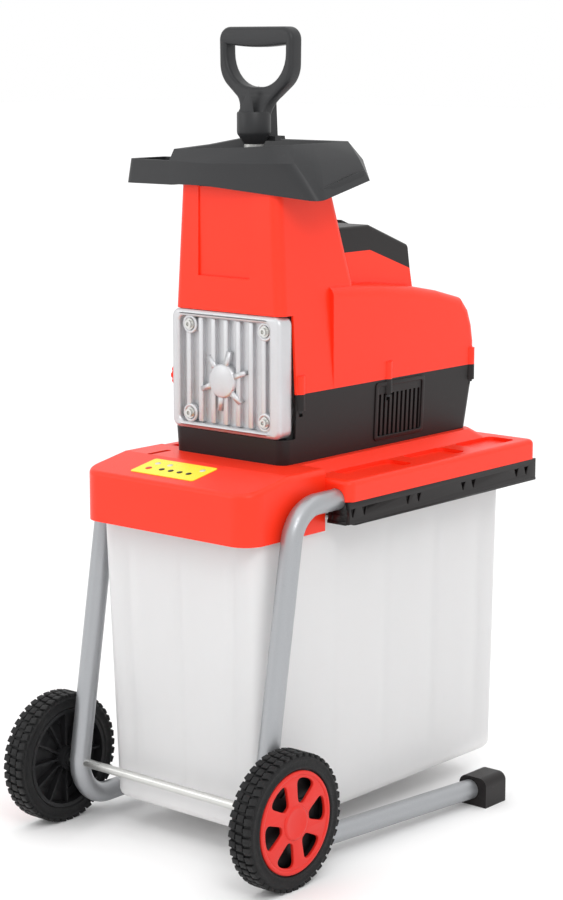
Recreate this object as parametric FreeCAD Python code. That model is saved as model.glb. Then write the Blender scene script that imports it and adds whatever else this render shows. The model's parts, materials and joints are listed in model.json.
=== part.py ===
import FreeCAD, Part
import os
from math import acos, atan, atan2, cos, degrees, hypot, pi, radians, sin, sqrt, tan

# A silent drum wood chipper: feed tower over a slow cutter drum, gearbox and motor in a two-part
# casing, on a moulded deck with side rails, a pull-out collection bin and a two-wheeled tube frame.
# Millimetres. The origin is on the ground in the middle of the footprint, +Z is up and -Y is the
# wheel end, where the feed tower and the cast cutter cover are.

V = FreeCAD.Vector

# Clearances
RUNNING = 0.05          # radial, shaft in bore
SLIDING = 0.5           # between faces that slide
SEAT = 0.2              # between fixed curved faces
FREE = 1.0              # around stems and screws

# Wheels and axle
AXLE_Y, AXLE_R, AXLE_HALF = -240.0, 6.0, 216.0
WHEEL_R, WHEEL_WIDTH, WHEEL_OUTER = 90.0, 40.0, 223.5
TREAD_DEPTH, TREAD_BLOCKS, TREAD_GROOVE = 4.0, 26, 6.5
TYRE_INNER_R, TRIM_R, RIM_WALL = 69.0, 67.5, 5.0
TRIM_THICK, TRIM_WINDOWS, HUB_R, TRIM_DISC_R = 4.0, 6, 16.0, 23.0
CLIP_R, CLIP_THICK = 10.0, 3.0

# Frame tubes and feet
TUBE_R, TUBE_WALL = 14.0, 1.5
TUBE_X, TUBE_FOOT_X = 165.5, 198.0
TUBE_TOP_Z, TUBE_GROUND_Z, TUBE_FOOT_Z = 477.0, 34.0, 22.0
TUBE_LEAN, TUBE_END_Y = 0.166, 206.0
TOP_BEND_R, LOW_BEND_R = 50.0, 57.0
FOOT_X0, FOOT_X1, FOOT_Y0, FOOT_LENGTH, FOOT_HEIGHT = 177.5, 223.5, 172.0, 50.0, 42.0

# Deck
DECK_FRONT, DECK_REAR, DECK_STEP = -247.0, 330.0, -95.0
DECK_HALF, WING_HALF, DECK_CORNER, WING_CORNER = 149.0, 190.0, 30.0, 12.0
APRON_Z, WING_Z, DECK_Z, CROWN_Z = 433.0, 475.0, 503.0, 515.0
LIP_Z, BROW_REAR = 500.0, -165.0
DECK_WALL, DECK_EDGE, POCKET_DEPTH = 3.5, 7.0, 5.0
PLATE_X0, PLATE_X1, PLATE_Y0, PLATE_Y1, PLATE_THICK = -76.0, 36.0, -227.0, -176.0, 0.8
SLOT_X0, SLOT_X1, SLOT_Y0, SLOT_Y1 = -104.0, -96.0, -166.0, -124.0
CHUTE_HALF, CHUTE_Y0, CHUTE_Y1 = 58.0, -92.0, -24.0

# Guide rails and bin
RAIL_INNER, RAIL_CORE, RAIL_Z, RAIL_FLANGE = 151.5, 185.0, 444.0, 4.0
GROOVE_Z0, GROOVE_Z1, GROOVE_DEPTH = 448.5, 455.0, 6.5
BIN_Z0, BIN_TOP_HALF, BIN_FOOT_HALF, BIN_WALL = 38.0, 142.0, 131.0, 3.0
BIN_TOP_Y0, BIN_TOP_Y1, BIN_FOOT_Y0, BIN_FOOT_Y1 = -218.0, 312.0, -203.0, 300.0
BIN_FLANGE, BIN_FLANGE_Y0, BIN_FLANGE_Y1 = 3.5, -84.0, 305.0
LOCK_HALF, LOCK_THICK = 22.0, 3.0

# Casing
BASE_Z, SPLIT_Z, TOWER_Z = CROWN_Z, 607.0, 880.0
BASE_HALF, SPLIT_HALF, TOWER_HALF = 97.0, 101.0, 85.0
CASE_FRONT, BASE_REAR, SPLIT_REAR = -122.0, 290.0, 306.0
TOWER_REAR_LOW, TOWER_REAR_TOP = 75.0, -4.0
CASE_WALL, CASE_CORNER, NECK_HALF = 4.0, 14.0, 80.0
INLET_Y, INLET_Z = 50.0, 764.0
LOUVRES, LOUVRE_Y0, LOUVRE_PITCH, LOUVRE_WIDTH = 10, 80.0, 9.6, 4.6
BOX_TOP_Z, BOX_WALL = 817.0, 3.0

# Cutter cover
COVER_HALF, COVER_Z0, COVER_Z1 = 96.0, 549.0, 710.0
COVER_FRONT, COVER_BORDER, COVER_PLATE, COVER_WRAP = -122.0, 14.0, 6.0, 16.0
COVER_RIBS, RIB_WIDTH, COVER_BOSS_R, COVER_SCREW_X, COVER_SCREW_Z = 6, 6.0, 20.0, 66.0, 60.0

# Cutting unit
DRUM_X, DRUM_Z, DRUM_R, DRUM_TEETH = -7.0, 618.0, 42.0, 8
DRUM_Y0, DRUM_Y1, DRUM_SHAFT_R = -92.0, -24.0, 10.0
CHAMBER_HALF, CHAMBER_WALL, CHAMBER_BACK = 84.0, 10.0, 12.0
CHAMBER_Y0, CHAMBER_Y1, CHAMBER_Z0, CHAMBER_Z1 = -108.0, -8.0, 536.0, 712.0
BEARING_R, BEARING_WIDTH = 21.0, 12.0
PLATE_GAP, PLATE_BODY, PLATE_HEIGHT = 3.5, 10.0, 70.0
SCREW_R, SCREW_Y, SCREW_Z = 5.0, -86.0, 614.0
KNOB_R, KNOB_X0, KNOB_LENGTH = 17.0, 103.5, 13.5

# Gear train and motor
MODULE, GEAR_TEETH, PINION_TEETH = 1.5, 46, 11
CASE_BOX_WALL, CASE_FLOOR = 6.0, 6.0
LAYER_1, LAYER_2, LAYER_3, GEAR_WIDTH = 1.0, 20.0, 37.0, 12.0
GEARBOX_END, MOTOR_PLATE = 52.0, 10.0
ARBOR_R, MOTOR_X, MOTOR_Z = 5.0, 0.0, 612.0
STATOR_R, STATOR_Y0, STATOR_Y1 = 50.0, 80.0, 165.0
ROTOR_R, AIR_GAP, MOTOR_SHAFT_R = 28.7, 0.6, 7.0
MOTOR_BEARING_R, FAN_R, FAN_Y0, FAN_WIDTH = 16.0, 42.0, 190.0, 16.0
CAPACITOR_R, CAPACITOR_X, CAPACITOR_Z = 18.0, -62.0, 676.0

# Hopper and pusher
HOPPER_LOW_Z, CREASE_Z, HOPPER_Z, HOPPER_WALL = 856.0, 907.0, 931.0, 4.0
THROAT_HALF, THROAT_Y0, THROAT_Y1, LEDGE_Z = 62.0, -111.0, -25.0, 851.0
PUSHER_Y, PUSHER_SHAFT_R = -64.0, 13.0
GRIP_HALF, GRIP_DEPTH, GRIP_TOP = 64.0, 24.0, 1080.0


# ---------------------------------------------------------------- helpers

def box(x0, x1, y0, y1, z0, z1):
    return Part.makeBox(x1 - x0, y1 - y0, z1 - z0, V(x0, y0, z0))


def rod(radius, start, end):
    start, end = V(*start), V(*end)
    return Part.makeCylinder(radius, (end - start).Length, start, end - start)


def tube(outer, inner, start, end):
    return rod(outer, start, end).cut(rod(inner, start, end))


def prism(points, plane, low, high):
    place = {
        "yz": lambda a, b: V(low, a, b),
        "xz": lambda a, b: V(a, low, b),
        "xy": lambda a, b: V(a, b, low),
    }[plane]
    along = {"yz": V(1, 0, 0), "xz": V(0, 1, 0), "xy": V(0, 0, 1)}[plane]
    corners = [place(a, b) for a, b in points]
    face = Part.Face(Part.makePolygon(corners + corners[:1]))
    return face.extrude(along * (high - low))


def outline(x0, x1, y0, y1, radius, z):
    """A level rectangle with round corners, always four sides and four arcs, for lofts."""
    k = radius * (1 - sqrt(0.5))
    corners = [
        ((x0, y0 + radius), (x0 + k, y0 + k), (x0 + radius, y0)),
        ((x1 - radius, y0), (x1 - k, y0 + k), (x1, y0 + radius)),
        ((x1, y1 - radius), (x1 - k, y1 - k), (x1 - radius, y1)),
        ((x0 + radius, y1), (x0 + k, y1 - k), (x0, y1 - radius)),
    ]
    edges = []
    for number, (start, middle, end) in enumerate(corners):
        following = corners[(number + 1) % 4][0]
        edges.append(Part.Arc(*(V(*p, z) for p in (start, middle, end))).toShape())
        edges.append(Part.LineSegment(V(*end, z), V(*following, z)).toShape())
    return Part.Wire(edges)


def loft(wires):
    return Part.makeLoft(wires, True, True)


def block(x0, x1, y0, y1, z0, z1, radius):
    face = Part.Face(outline(x0, x1, y0, y1, radius, z0))
    return face.extrude(V(0, 0, z1 - z0))


def joined(shapes):
    return shapes[0].fuse(list(shapes[1:])).removeSplitter()


def rounded(shape, radius, chosen):
    return shape.makeFillet(radius, [edge for edge in shape.Edges if chosen(edge)])


def mirrored(shape):
    return shape.mirror(V(0, 0, 0), V(1, 0, 0))


def spun(shape, centre, axis, turn):
    copy = shape.copy()
    copy.rotate(V(*centre), V(*axis), turn)
    return copy


def group(shapes):
    return Part.makeCompound(shapes)


def save(name, shape):
    shape.exportStep(f"parts/{name}.step")


# ---------------------------------------------------------------- frame

def bent_path(corners, radii):
    edges = []
    start = corners[0]
    for before, corner, after, radius in zip(corners, corners[1:], corners[2:], radii):
        back, ahead = (before - corner).normalize(), (after - corner).normalize()
        half = back.getAngle(ahead) / 2
        first, last = corner + back * (radius / tan(half)), corner + ahead * (radius / tan(half))
        middle = corner + (back + ahead).normalize() * (radius / sin(half) - radius)
        edges.append(Part.LineSegment(start, first).toShape())
        edges.append(Part.Arc(first, middle, last).toShape())
        start = last
    edges.append(Part.LineSegment(start, corners[-1]).toShape())
    return Part.Wire(edges)


def tube_corners(end_y=TUBE_END_Y):
    """Corners of the right frame tube: from inside the deck, down past the axle, back to the foot."""
    top_y = AXLE_Y + TUBE_LEAN * (TUBE_TOP_Z - WHEEL_R)
    low_y = AXLE_Y + TUBE_LEAN * (TUBE_GROUND_Z - WHEEL_R)
    return [
        V(TUBE_X + 3, DECK_STEP + 150, TUBE_TOP_Z),
        V(TUBE_X, top_y, TUBE_TOP_Z),
        V(TUBE_X, low_y, TUBE_GROUND_Z),
        V(TUBE_FOOT_X, end_y, TUBE_FOOT_Z),
    ]


def tube_pipe(radius, end_y=TUBE_END_Y):
    path = bent_path(tube_corners(end_y), [TOP_BEND_R, LOW_BEND_R])
    start, following = tube_corners()[:2]
    section = Part.Wire(Part.Circle(start, following - start, radius).toShape())
    return path.makePipeShell([section], True, False)


def frame_tube():
    axle_hole = rod(AXLE_R + RUNNING, (0, AXLE_Y, WHEEL_R), (WHEEL_OUTER, AXLE_Y, WHEEL_R))
    return tube_pipe(TUBE_R).cut([tube_pipe(TUBE_R - TUBE_WALL), axle_hole] + bolt_holes(SEAT))


def foot():
    body = box(FOOT_X0, FOOT_X1, FOOT_Y0, FOOT_Y0 + FOOT_LENGTH, 0, FOOT_HEIGHT)
    body = rounded(body, 12, lambda e: e.CenterOfMass.z > FOOT_HEIGHT - 1
                   and abs(e.CenterOfMass.y - FOOT_Y0 - FOOT_LENGTH / 2) < 1)
    body = rounded(body, 3, lambda e: abs(e.CenterOfMass.y - FOOT_Y0 - FOOT_LENGTH) < 1
                   and e.CenterOfMass.z > 5)
    return body.cut(tube_pipe(TUBE_R + SEAT))


def axle():
    return rod(AXLE_R, (-AXLE_HALF, AXLE_Y, WHEEL_R), (AXLE_HALF, AXLE_Y, WHEEL_R))


def wheel_x(u):
    """Distance from the middle of the machine of a point u outside the wheel's inner face."""
    return WHEEL_OUTER - WHEEL_WIDTH + u


def on_wheel(outer, inner, u0, u1):
    return tube(outer, inner, (wheel_x(u0), AXLE_Y, WHEEL_R), (wheel_x(u1), AXLE_Y, WHEEL_R))


def around_wheel(shape, count, first=0.0):
    return [spun(shape, (0, AXLE_Y, WHEEL_R), (1, 0, 0), first + 360 * i / count)
            for i in range(count)]


def axle_spacer():
    tube_side = TUBE_X + TUBE_R + SEAT
    return tube(AXLE_R + 5, AXLE_R + RUNNING, (tube_side, AXLE_Y, WHEEL_R),
                (wheel_x(0) - SEAT, AXLE_Y, WHEEL_R))


def axle_clip():
    return tube(CLIP_R, AXLE_R + RUNNING, (wheel_x(0) + 28.3, AXLE_Y, WHEEL_R),
                (wheel_x(0) + 28.3 + CLIP_THICK, AXLE_Y, WHEEL_R))


def tyre():
    body = on_wheel(WHEEL_R, TYRE_INNER_R, 2.5, WHEEL_WIDTH - 1)
    body = body.makeChamfer(2.5, [e for e in body.Edges if e.Length > 2 * pi * WHEEL_R - 1])
    grooves = []
    half = WHEEL_WIDTH / 2
    for number, (u0, u1) in enumerate(((-1, half - 1.5), (half + 1.5, WHEEL_WIDTH + 1))):
        groove = box(wheel_x(u0), wheel_x(u1), AXLE_Y - TREAD_GROOVE / 2, AXLE_Y + TREAD_GROOVE / 2,
                     2 * WHEEL_R - TREAD_DEPTH, 2 * WHEEL_R + 1)
        grooves += around_wheel(groove, TREAD_BLOCKS, number * 180 / TREAD_BLOCKS)
    grooves.append(on_wheel(WHEEL_R + 1, WHEEL_R - TREAD_DEPTH * 0.6, half - 1.5, half + 1.5))
    return body.cut(grooves)


def wheel_core():
    """Black wheel body: hub, web with holes and ribs towards the machine, and the rim."""
    rim = on_wheel(TYRE_INNER_R, TYRE_INNER_R - RIM_WALL, 3, WHEEL_WIDTH - TRIM_THICK - 1)
    web = on_wheel(TYRE_INNER_R - 1, AXLE_R + RUNNING, 18, 22)
    hub = on_wheel(HUB_R, AXLE_R + RUNNING, 0, 28)
    rib = box(wheel_x(8), wheel_x(18.5), AXLE_Y - 1.5, AXLE_Y + 1.5,
              WHEEL_R + HUB_R - 2, WHEEL_R + TYRE_INNER_R - 2)
    hole = rod(9, (wheel_x(10), AXLE_Y, WHEEL_R + 42), (wheel_x(30), AXLE_Y, WHEEL_R + 42))
    body = joined([rim, web, hub] + around_wheel(rib, 12))
    return body.cut(around_wheel(hole, TRIM_WINDOWS, 15))


def wheel_trim():
    """Red cover with a ring, broad spokes between dark windows, and a flat middle disc."""
    face = WHEEL_WIDTH - 1
    plate = on_wheel(TRIM_R, 1, face - TRIM_THICK, face).fuse(
        rod(1.5, (wheel_x(face - TRIM_THICK), AXLE_Y, WHEEL_R), (wheel_x(face), AXLE_Y, WHEEL_R)))
    disc = rod(TRIM_DISC_R, (wheel_x(face - TRIM_THICK), AXLE_Y, WHEEL_R),
               (wheel_x(WHEEL_WIDTH), AXLE_Y, WHEEL_R))
    bead = on_wheel(TRIM_R, TRIM_R - 5, face - TRIM_THICK, WHEEL_WIDTH)
    inner_r, outer_r, spoke = TRIM_DISC_R + 5, TRIM_R - 11, 9.0
    window = on_wheel(outer_r, inner_r, 0, WHEEL_WIDTH + 2)
    far = TRIM_R * 2
    reach = tan(pi / TRIM_WINDOWS) * far - spoke / cos(pi / TRIM_WINDOWS)
    wedge = prism([(AXLE_Y, WHEEL_R + spoke / sin(pi / TRIM_WINDOWS)),
                   (AXLE_Y + reach, WHEEL_R + far), (AXLE_Y - reach, WHEEL_R + far)],
                  "yz", wheel_x(0), wheel_x(WHEEL_WIDTH + 2))
    window = window.common(wedge)
    window = rounded(window, 3, lambda e: abs(e.Length - WHEEL_WIDTH - 2) < 0.01)
    return joined([plate, disc, bead]).cut(around_wheel(window, TRIM_WINDOWS))


def frame_bolts():
    """Cap screws that hold each tube's top run up into the deck, heads under the tube."""
    bolts = []
    for side in (-1, 1):
        for y in (DECK_STEP + 30, DECK_STEP + 115):
            x = side * (TUBE_X + 3 * (y - tube_corners()[1].y) / (DECK_STEP + 150 - tube_corners()[1].y))
            shank = rod(2.5, (x, y, RAIL_Z + 3), (x, y, DECK_Z - DECK_WALL - 1))
            bolts.append(shank.fuse(rod(5, (x, y, RAIL_Z), (x, y, RAIL_Z + 4))))
    return group(bolts)


def bolt_holes(radius_more):
    holes = []
    for bolt in frame_bolts().Solids:
        middle = bolt.CenterOfMass
        holes.append(rod(2.5 + radius_more, (middle.x, middle.y, RAIL_Z - 1),
                         (middle.x, middle.y, DECK_Z - DECK_WALL - 0.5)))
        holes.append(rod(5 + radius_more, (middle.x, middle.y, RAIL_Z - 1),
                         (middle.x, middle.y, RAIL_Z + 4)))
    return holes


# ---------------------------------------------------------------- deck, rails and bin

def deck_pockets(more):
    """Shallow trays moulded into the side shelves, grown by more for the wall beneath."""
    pockets = []
    for side in (-1, 1):
        for y0, y1 in ((-55, 65), (95, 185), (215, 305)):
            x0, x1 = sorted((side * (CHAMBER_HALF + 42), side * (WING_HALF - 18)))
            pockets.append(block(x0 - more, x1 + more, y0 - more, y1 + more,
                                 DECK_Z - POCKET_DEPTH - more, DECK_Z + 5, 10 + more))
    return pockets


def rounded_top(shape, z, radius):
    return rounded(shape, radius, lambda e: e.BoundBox.ZMin > z - 0.01)


def front_block(inset):
    """Front of the deck, as tall as the crown, with a brow that slopes down to the front apron."""
    body = block(-DECK_HALF + inset, DECK_HALF - inset, DECK_FRONT + inset, DECK_STEP + 2 * DECK_CORNER,
                 APRON_Z - inset, CROWN_Z - inset, DECK_CORNER - inset)
    profile = [(DECK_FRONT, APRON_Z - DECK_CORNER), (DECK_FRONT, LIP_Z - inset), (BROW_REAR, CROWN_Z - inset),
               (DECK_STEP - inset, CROWN_Z - inset), (DECK_STEP - inset, APRON_Z - DECK_CORNER)]
    body = body.common(prism(profile, "yz", -WING_HALF, WING_HALF))

    def on_rim(edge):
        across = edge.BoundBox.YLength < 0.1 and edge.CenterOfMass.y > DECK_FRONT + DECK_CORNER
        return edge.BoundBox.ZMin > LIP_Z - inset - 1 and not across

    return rounded(body, DECK_EDGE - inset, on_rim)


def deck_shell(inset):
    wings = block(-WING_HALF + inset, WING_HALF - inset, DECK_STEP + inset, DECK_REAR - inset,
                  WING_Z - inset, DECK_Z - inset, WING_CORNER - inset)
    wings = rounded_top(wings, DECK_Z - inset, DECK_EDGE - inset)
    low = [-128 + inset, 128 - inset, DECK_STEP - 50, DECK_REAR - 24 - inset]
    top = [-107 + inset, 107 - inset, DECK_STEP - 50, DECK_REAR - 36 - inset]
    crown = loft([outline(*low, 20, DECK_Z - 1 - inset), outline(*top, 20, CROWN_Z - inset)])
    return joined([front_block(inset), wings, crown])


def deck():
    outer = deck_shell(0)
    inner = deck_shell(DECK_WALL).cut(deck_pockets(DECK_WALL))
    chute = box(-CHUTE_HALF, CHUTE_HALF, CHUTE_Y0, CHUTE_Y1, DECK_Z - 10, CROWN_Z + 5)
    slot = block(SLOT_X0, SLOT_X1, SLOT_Y0, SLOT_Y1, DECK_Z - 5, CROWN_Z + 5, 3)
    screw_lands = [rod(7, (x, y, WING_Z), (x, y, DECK_Z - 2)) for x, y in rail_screw_places()]
    body = outer.cut(inner).fuse(screw_lands).removeSplitter()
    inside = DECK_HALF - DECK_WALL
    bin_mouth = box(-inside, inside, DECK_STEP - 2 * DECK_WALL, DECK_STEP + 1,
                    APRON_Z - 1, WING_Z - DECK_WALL)
    cuts = [chute, slot, bin_mouth, tube_pipe(TUBE_R + 0.5), mirrored(tube_pipe(TUBE_R + 0.5))]
    cuts += deck_pockets(0) + bolt_holes(SEAT) + rail_screw_holes() + [lock_space()]
    return body.cut(cuts)


def rail_screw_places():
    return [(side * (WING_HALF - 13), y) for side in (-1, 1) for y in (80, 195, 310)]


def rail_screws():
    screws = []
    for x, y in rail_screw_places():
        shank = rod(2, (x, y, RAIL_Z + 2), (x, y, DECK_Z - 6))
        screws.append(shank.fuse(rod(4.5, (x, y, RAIL_Z), (x, y, RAIL_Z + 3))))
    return group(screws)


def rail_screw_holes():
    holes = []
    for x, y in rail_screw_places():
        holes.append(rod(2 + SEAT, (x, y, RAIL_Z - 1), (x, y, DECK_Z - 5.5)))
        holes.append(rod(4.5 + SEAT, (x, y, RAIL_Z - 1), (x, y, RAIL_Z + 3)))
    return holes


def guide_rail():
    body = box(RAIL_INNER, RAIL_CORE, DECK_STEP, DECK_REAR, RAIL_Z, WING_Z)
    flanges = [box(RAIL_CORE, WING_HALF, DECK_STEP, DECK_REAR, z, z + RAIL_FLANGE)
               for z in (RAIL_Z, WING_Z - RAIL_FLANGE)]
    ribs = []
    for y in (-60, 50, 160, 270):
        for shift in (-9, 9):
            ribs.append(prism([(y + shift - 5, RAIL_Z + 2), (y + shift + 5, RAIL_Z + 2),
                               (y + shift, WING_Z - 2)], "yz", RAIL_CORE - 1, WING_HALF - 1))
    body = joined([body] + flanges + ribs)
    groove = box(RAIL_INNER - 1, RAIL_INNER + GROOVE_DEPTH, BIN_FLANGE_Y0 - 2, DECK_REAR + 1,
                 GROOVE_Z0, GROOVE_Z1)
    return body.cut([groove, tube_pipe(TUBE_R + SEAT)] + bolt_holes(SEAT) + rail_screw_holes())


def collection_bin():
    rim_z = GROOVE_Z0 + SLIDING + BIN_FLANGE
    def hollow(inset, floor):
        return loft([
            outline(-BIN_FOOT_HALF + inset, BIN_FOOT_HALF - inset, BIN_FOOT_Y0 + inset,
                    BIN_FOOT_Y1 - inset, 26 - inset, BIN_Z0 + floor),
            outline(-BIN_TOP_HALF + inset, BIN_TOP_HALF - inset, BIN_TOP_Y0 + inset,
                    BIN_TOP_Y1 - inset, 30 - inset, rim_z),
        ])
    shell = hollow(0, 0)
    shell = rounded(shell, 8, lambda e: abs(e.CenterOfMass.z - BIN_Z0) < 0.1)
    reach = RAIL_INNER + GROOVE_DEPTH - FREE - SLIDING
    flange = block(-reach, reach, BIN_FLANGE_Y0, BIN_FLANGE_Y1, rim_z - BIN_FLANGE, rim_z, 8)
    lip = block(-BIN_TOP_HALF - 2, BIN_TOP_HALF + 2, BIN_TOP_Y0 - 4, BIN_TOP_Y1 + 4,
                rim_z - BIN_FLANGE, rim_z, 32)
    top_inside = block(-BIN_TOP_HALF + BIN_WALL, BIN_TOP_HALF - BIN_WALL, BIN_TOP_Y0 + BIN_WALL,
                       BIN_TOP_Y1 - BIN_WALL, rim_z - BIN_FLANGE - 1, rim_z + 1, 27)
    handle = block(-55, 55, BIN_TOP_Y1 - 2, BIN_TOP_Y1 + 16, rim_z - 60, rim_z - 30, 6)
    handle = handle.cut(box(-52, 52, BIN_TOP_Y1 - 10, BIN_TOP_Y1 + 13, rim_z - 61, rim_z - 33))
    body = joined([shell, flange, lip, handle])
    return body.cut([hollow(BIN_WALL, BIN_WALL), top_inside])


def lock_space():
    return block(-LOCK_HALF - SLIDING, LOCK_HALF + SLIDING, BIN_TOP_Y1 + 5, BIN_TOP_Y1 + 5
                 + LOCK_THICK + 2 * SLIDING, WING_Z - 1, DECK_Z + 20, 1)


def bin_lock_slider():
    """Drops behind the bin's rim when it is pushed down; drawn up, so that the bin is free."""
    rim_z = GROOVE_Z0 + SLIDING + BIN_FLANGE
    y0 = BIN_TOP_Y1 + 5 + SLIDING
    tongue = box(-LOCK_HALF, LOCK_HALF, y0, y0 + LOCK_THICK, rim_z + 4, DECK_Z + 18)
    pad = block(-LOCK_HALF, LOCK_HALF, y0 - 6, y0 + LOCK_THICK + 3, DECK_Z + 16, DECK_Z + 21, 3)
    return joined([tongue, pad])


def info_plate():
    """Blank plate on the sloping brow of the deck."""
    rise = (CROWN_Z - LIP_Z) / (BROW_REAR - DECK_FRONT)
    plate = block(PLATE_X0, PLATE_X1, PLATE_Y0, PLATE_Y1, 0, PLATE_THICK, 4)
    plate.translate(V(0, 0, LIP_Z + rise * (PLATE_Y0 - DECK_FRONT)))
    plate.rotate(V(0, PLATE_Y0, LIP_Z + rise * (PLATE_Y0 - DECK_FRONT)), V(1, 0, 0), degrees(atan(rise)))
    plate.translate(V(0, 0, 0.05))
    return plate


# ---------------------------------------------------------------- casing

def case_bosses(z0, z1, radius):
    return [rod(radius, (side * (SPLIT_HALF - 3), y, z0), (side * (SPLIT_HALF - 3), y, z1))
            for side, front_y in ((-1, -55), (1, -86)) for y in (front_y, 100, SPLIT_REAR - 14)]


def base_volume(inset):
    return loft([
        outline(-BASE_HALF + inset, BASE_HALF - inset, CASE_FRONT + 4 + inset, BASE_REAR - inset,
                CASE_CORNER, BASE_Z + inset),
        outline(-SPLIT_HALF + inset, SPLIT_HALF - inset, CASE_FRONT + inset, SPLIT_REAR - inset,
                CASE_CORNER, SPLIT_Z),
    ])


def cover_room(more):
    return box(-SPLIT_HALF - 10, SPLIT_HALF + 10, CASE_FRONT - 10, COVER_FRONT + COVER_PLATE + COVER_WRAP
               + 4 + more, COVER_Z0 - more, COVER_Z1 + more)


def lower_housing():
    body = base_volume(0).cut(base_volume(CASE_WALL))
    cradle = [box(-STATOR_R - 12, STATOR_R + 12, y, y + 4, BASE_Z + 1, MOTOR_Z)
              for y in (STATOR_Y0 + 10, STATOR_Y1 - 14)]
    shelf = [box(x0, x0 + 16, CHAMBER_Y0 + 8, CHAMBER_Y1, BASE_Z + 1, CHAMBER_Z0)
             for x0 in (-CHAMBER_HALF, CHAMBER_HALF - 16)]
    body = joined([body] + case_bosses(SPLIT_Z - 22, SPLIT_Z, 7) + cradle + shelf)
    cuts = [cover_room(SLIDING), case_rod(STATOR_R + SEAT, STATOR_Y0 - 5, STATOR_Y1 + 5)]
    cuts.append(box(-CHUTE_HALF, CHUTE_HALF, CHUTE_Y0, CHUTE_Y1, BASE_Z - 1, BASE_Z + CASE_WALL + 1))
    for side in (-1, 1):
        x0, x1 = sorted((side * (BASE_HALF - 12), side * (SPLIT_HALF + 10)))
        for number in range(LOUVRES):
            y = LOUVRE_Y0 + number * LOUVRE_PITCH
            cuts.append(box(x0, x1, y, y + LOUVRE_WIDTH, BASE_Z + 9, SPLIT_Z - 20))
    cuts += case_bosses(SPLIT_Z - 24, SPLIT_Z + 1, 2 + SEAT)
    cuts += case_bosses(SPLIT_Z - 30, SPLIT_Z - 22, 4 + SEAT)
    return body.cut(cuts)


def case_rod(radius, y0, y1):
    return rod(radius, (MOTOR_X, y0, MOTOR_Z), (MOTOR_X, y1, MOTOR_Z))


def shroud_profile(inset):
    """Side outline of the motor cover, from the tower to the rounded rear."""
    arc_points = [(SPLIT_REAR - 1, 640), (SPLIT_REAR - 6, 665), (SPLIT_REAR - 15, 687),
                  (SPLIT_REAR - 31, 704), (220, 718), (160, 729), (96, 737), (30, 742)]
    points = [(-20, SPLIT_Z), (SPLIT_REAR, SPLIT_Z)] + arc_points + [(-20, 744)]
    middle_y, middle_z = 140, 660
    return [(y - inset * (1 if y > middle_y else -1), z - (inset if z > middle_z else 0))
            for y, z in points]


def upper_volume(inset):
    tower = loft([
        outline(-SPLIT_HALF + inset, SPLIT_HALF - inset, CASE_FRONT + inset, TOWER_REAR_LOW - inset,
                CASE_CORNER, SPLIT_Z),
        outline(-TOWER_HALF + inset, TOWER_HALF - inset, CASE_FRONT + 4 + inset,
                TOWER_REAR_TOP - inset, CASE_CORNER, TOWER_Z),
    ])
    shroud = prism(shroud_profile(inset), "yz", -SPLIT_HALF + inset, SPLIT_HALF - inset)
    shroud = rounded(shroud, 16, lambda e: abs(abs(e.CenterOfMass.x) - SPLIT_HALF + inset) < 0.1
                     and e.CenterOfMass.z > SPLIT_Z + 5 and e.CenterOfMass.y > -10)
    neck = prism([(-15, 690), (-15, 783 - inset), (83, 783 - inset), (172 - inset, 752 - inset),
                  (186 - inset, 690)], "yz", -NECK_HALF + inset, NECK_HALF - inset)
    return joined([tower, shroud, neck])


def upper_housing():
    inside = upper_volume(CASE_WALL)
    tower_top = block(-TOWER_HALF + CASE_WALL, TOWER_HALF - CASE_WALL, CASE_FRONT + 4 + CASE_WALL,
                      TOWER_REAR_TOP - CASE_WALL, TOWER_Z - 6, TOWER_Z + 1, CASE_CORNER)
    body = upper_volume(0).cut([inside, tower_top])
    body = joined([body] + case_bosses(SPLIT_Z, SPLIT_Z + 24, 7))
    channel = box(-50, 40, CASE_FRONT - 5, CASE_FRONT + 5.5, 756, TOWER_Z + 1)
    cuts = [cover_room(SLIDING), channel,
            rod(SCREW_R + FREE, (-SPLIT_HALF - 10, SCREW_Y, SCREW_Z), (-80, SCREW_Y, SCREW_Z)),
            box(-50, 50, 30, 130, 735, 790),
            rod(14 + SEAT, (-NECK_HALF - 5, INLET_Y, INLET_Z), (-NECK_HALF + 10, INLET_Y, INLET_Z))]
    cuts += case_bosses(SPLIT_Z - 1, SPLIT_Z + 18, 2 + SEAT)
    return body.cut(cuts)


def housing_screws():
    screws = []
    for place in case_bosses(SPLIT_Z - 22, SPLIT_Z + 16, 2):
        middle = place.CenterOfMass
        head = rod(4, (middle.x, middle.y, SPLIT_Z - 25), (middle.x, middle.y, SPLIT_Z - 22))
        screws.append(place.fuse(head))
    return group(screws)


def control_box():
    def outer(inset):
        return prism([(18 + inset, 783), (18 + inset, BOX_TOP_Z - inset), (83, BOX_TOP_Z - inset),
                      (166 - inset, 786 - inset), (172 - inset, 752), (83, 783)],
                     "yz", -NECK_HALF + inset, NECK_HALF - inset)
    body = rounded(outer(0), 5, lambda e: e.CenterOfMass.z > 784 and e.BoundBox.YLength > 20
                   and abs(e.CenterOfMass.x) > NECK_HALF - 1)
    cuts = [outer(BOX_WALL)]
    cuts.append(rod(13 + SLIDING, (26, 50, BOX_TOP_Z - 5), (26, 50, BOX_TOP_Z + 5)))
    cuts.append(rod(11 + SLIDING, (-24, 50, BOX_TOP_Z - 5), (-24, 50, BOX_TOP_Z + 5)))
    centre, normal = slope_place(0, 125)
    cuts.append(Part.makeCylinder(6 + RUNNING, 20, centre - normal * 10, normal))
    centre, normal = slope_place(-48, 125)
    cuts.append(Part.makeCylinder(6 + SLIDING, 20, centre - normal * 10, normal))
    inner_upper = upper_volume(0)
    return body.cut(cuts).cut(inner_upper)


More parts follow.
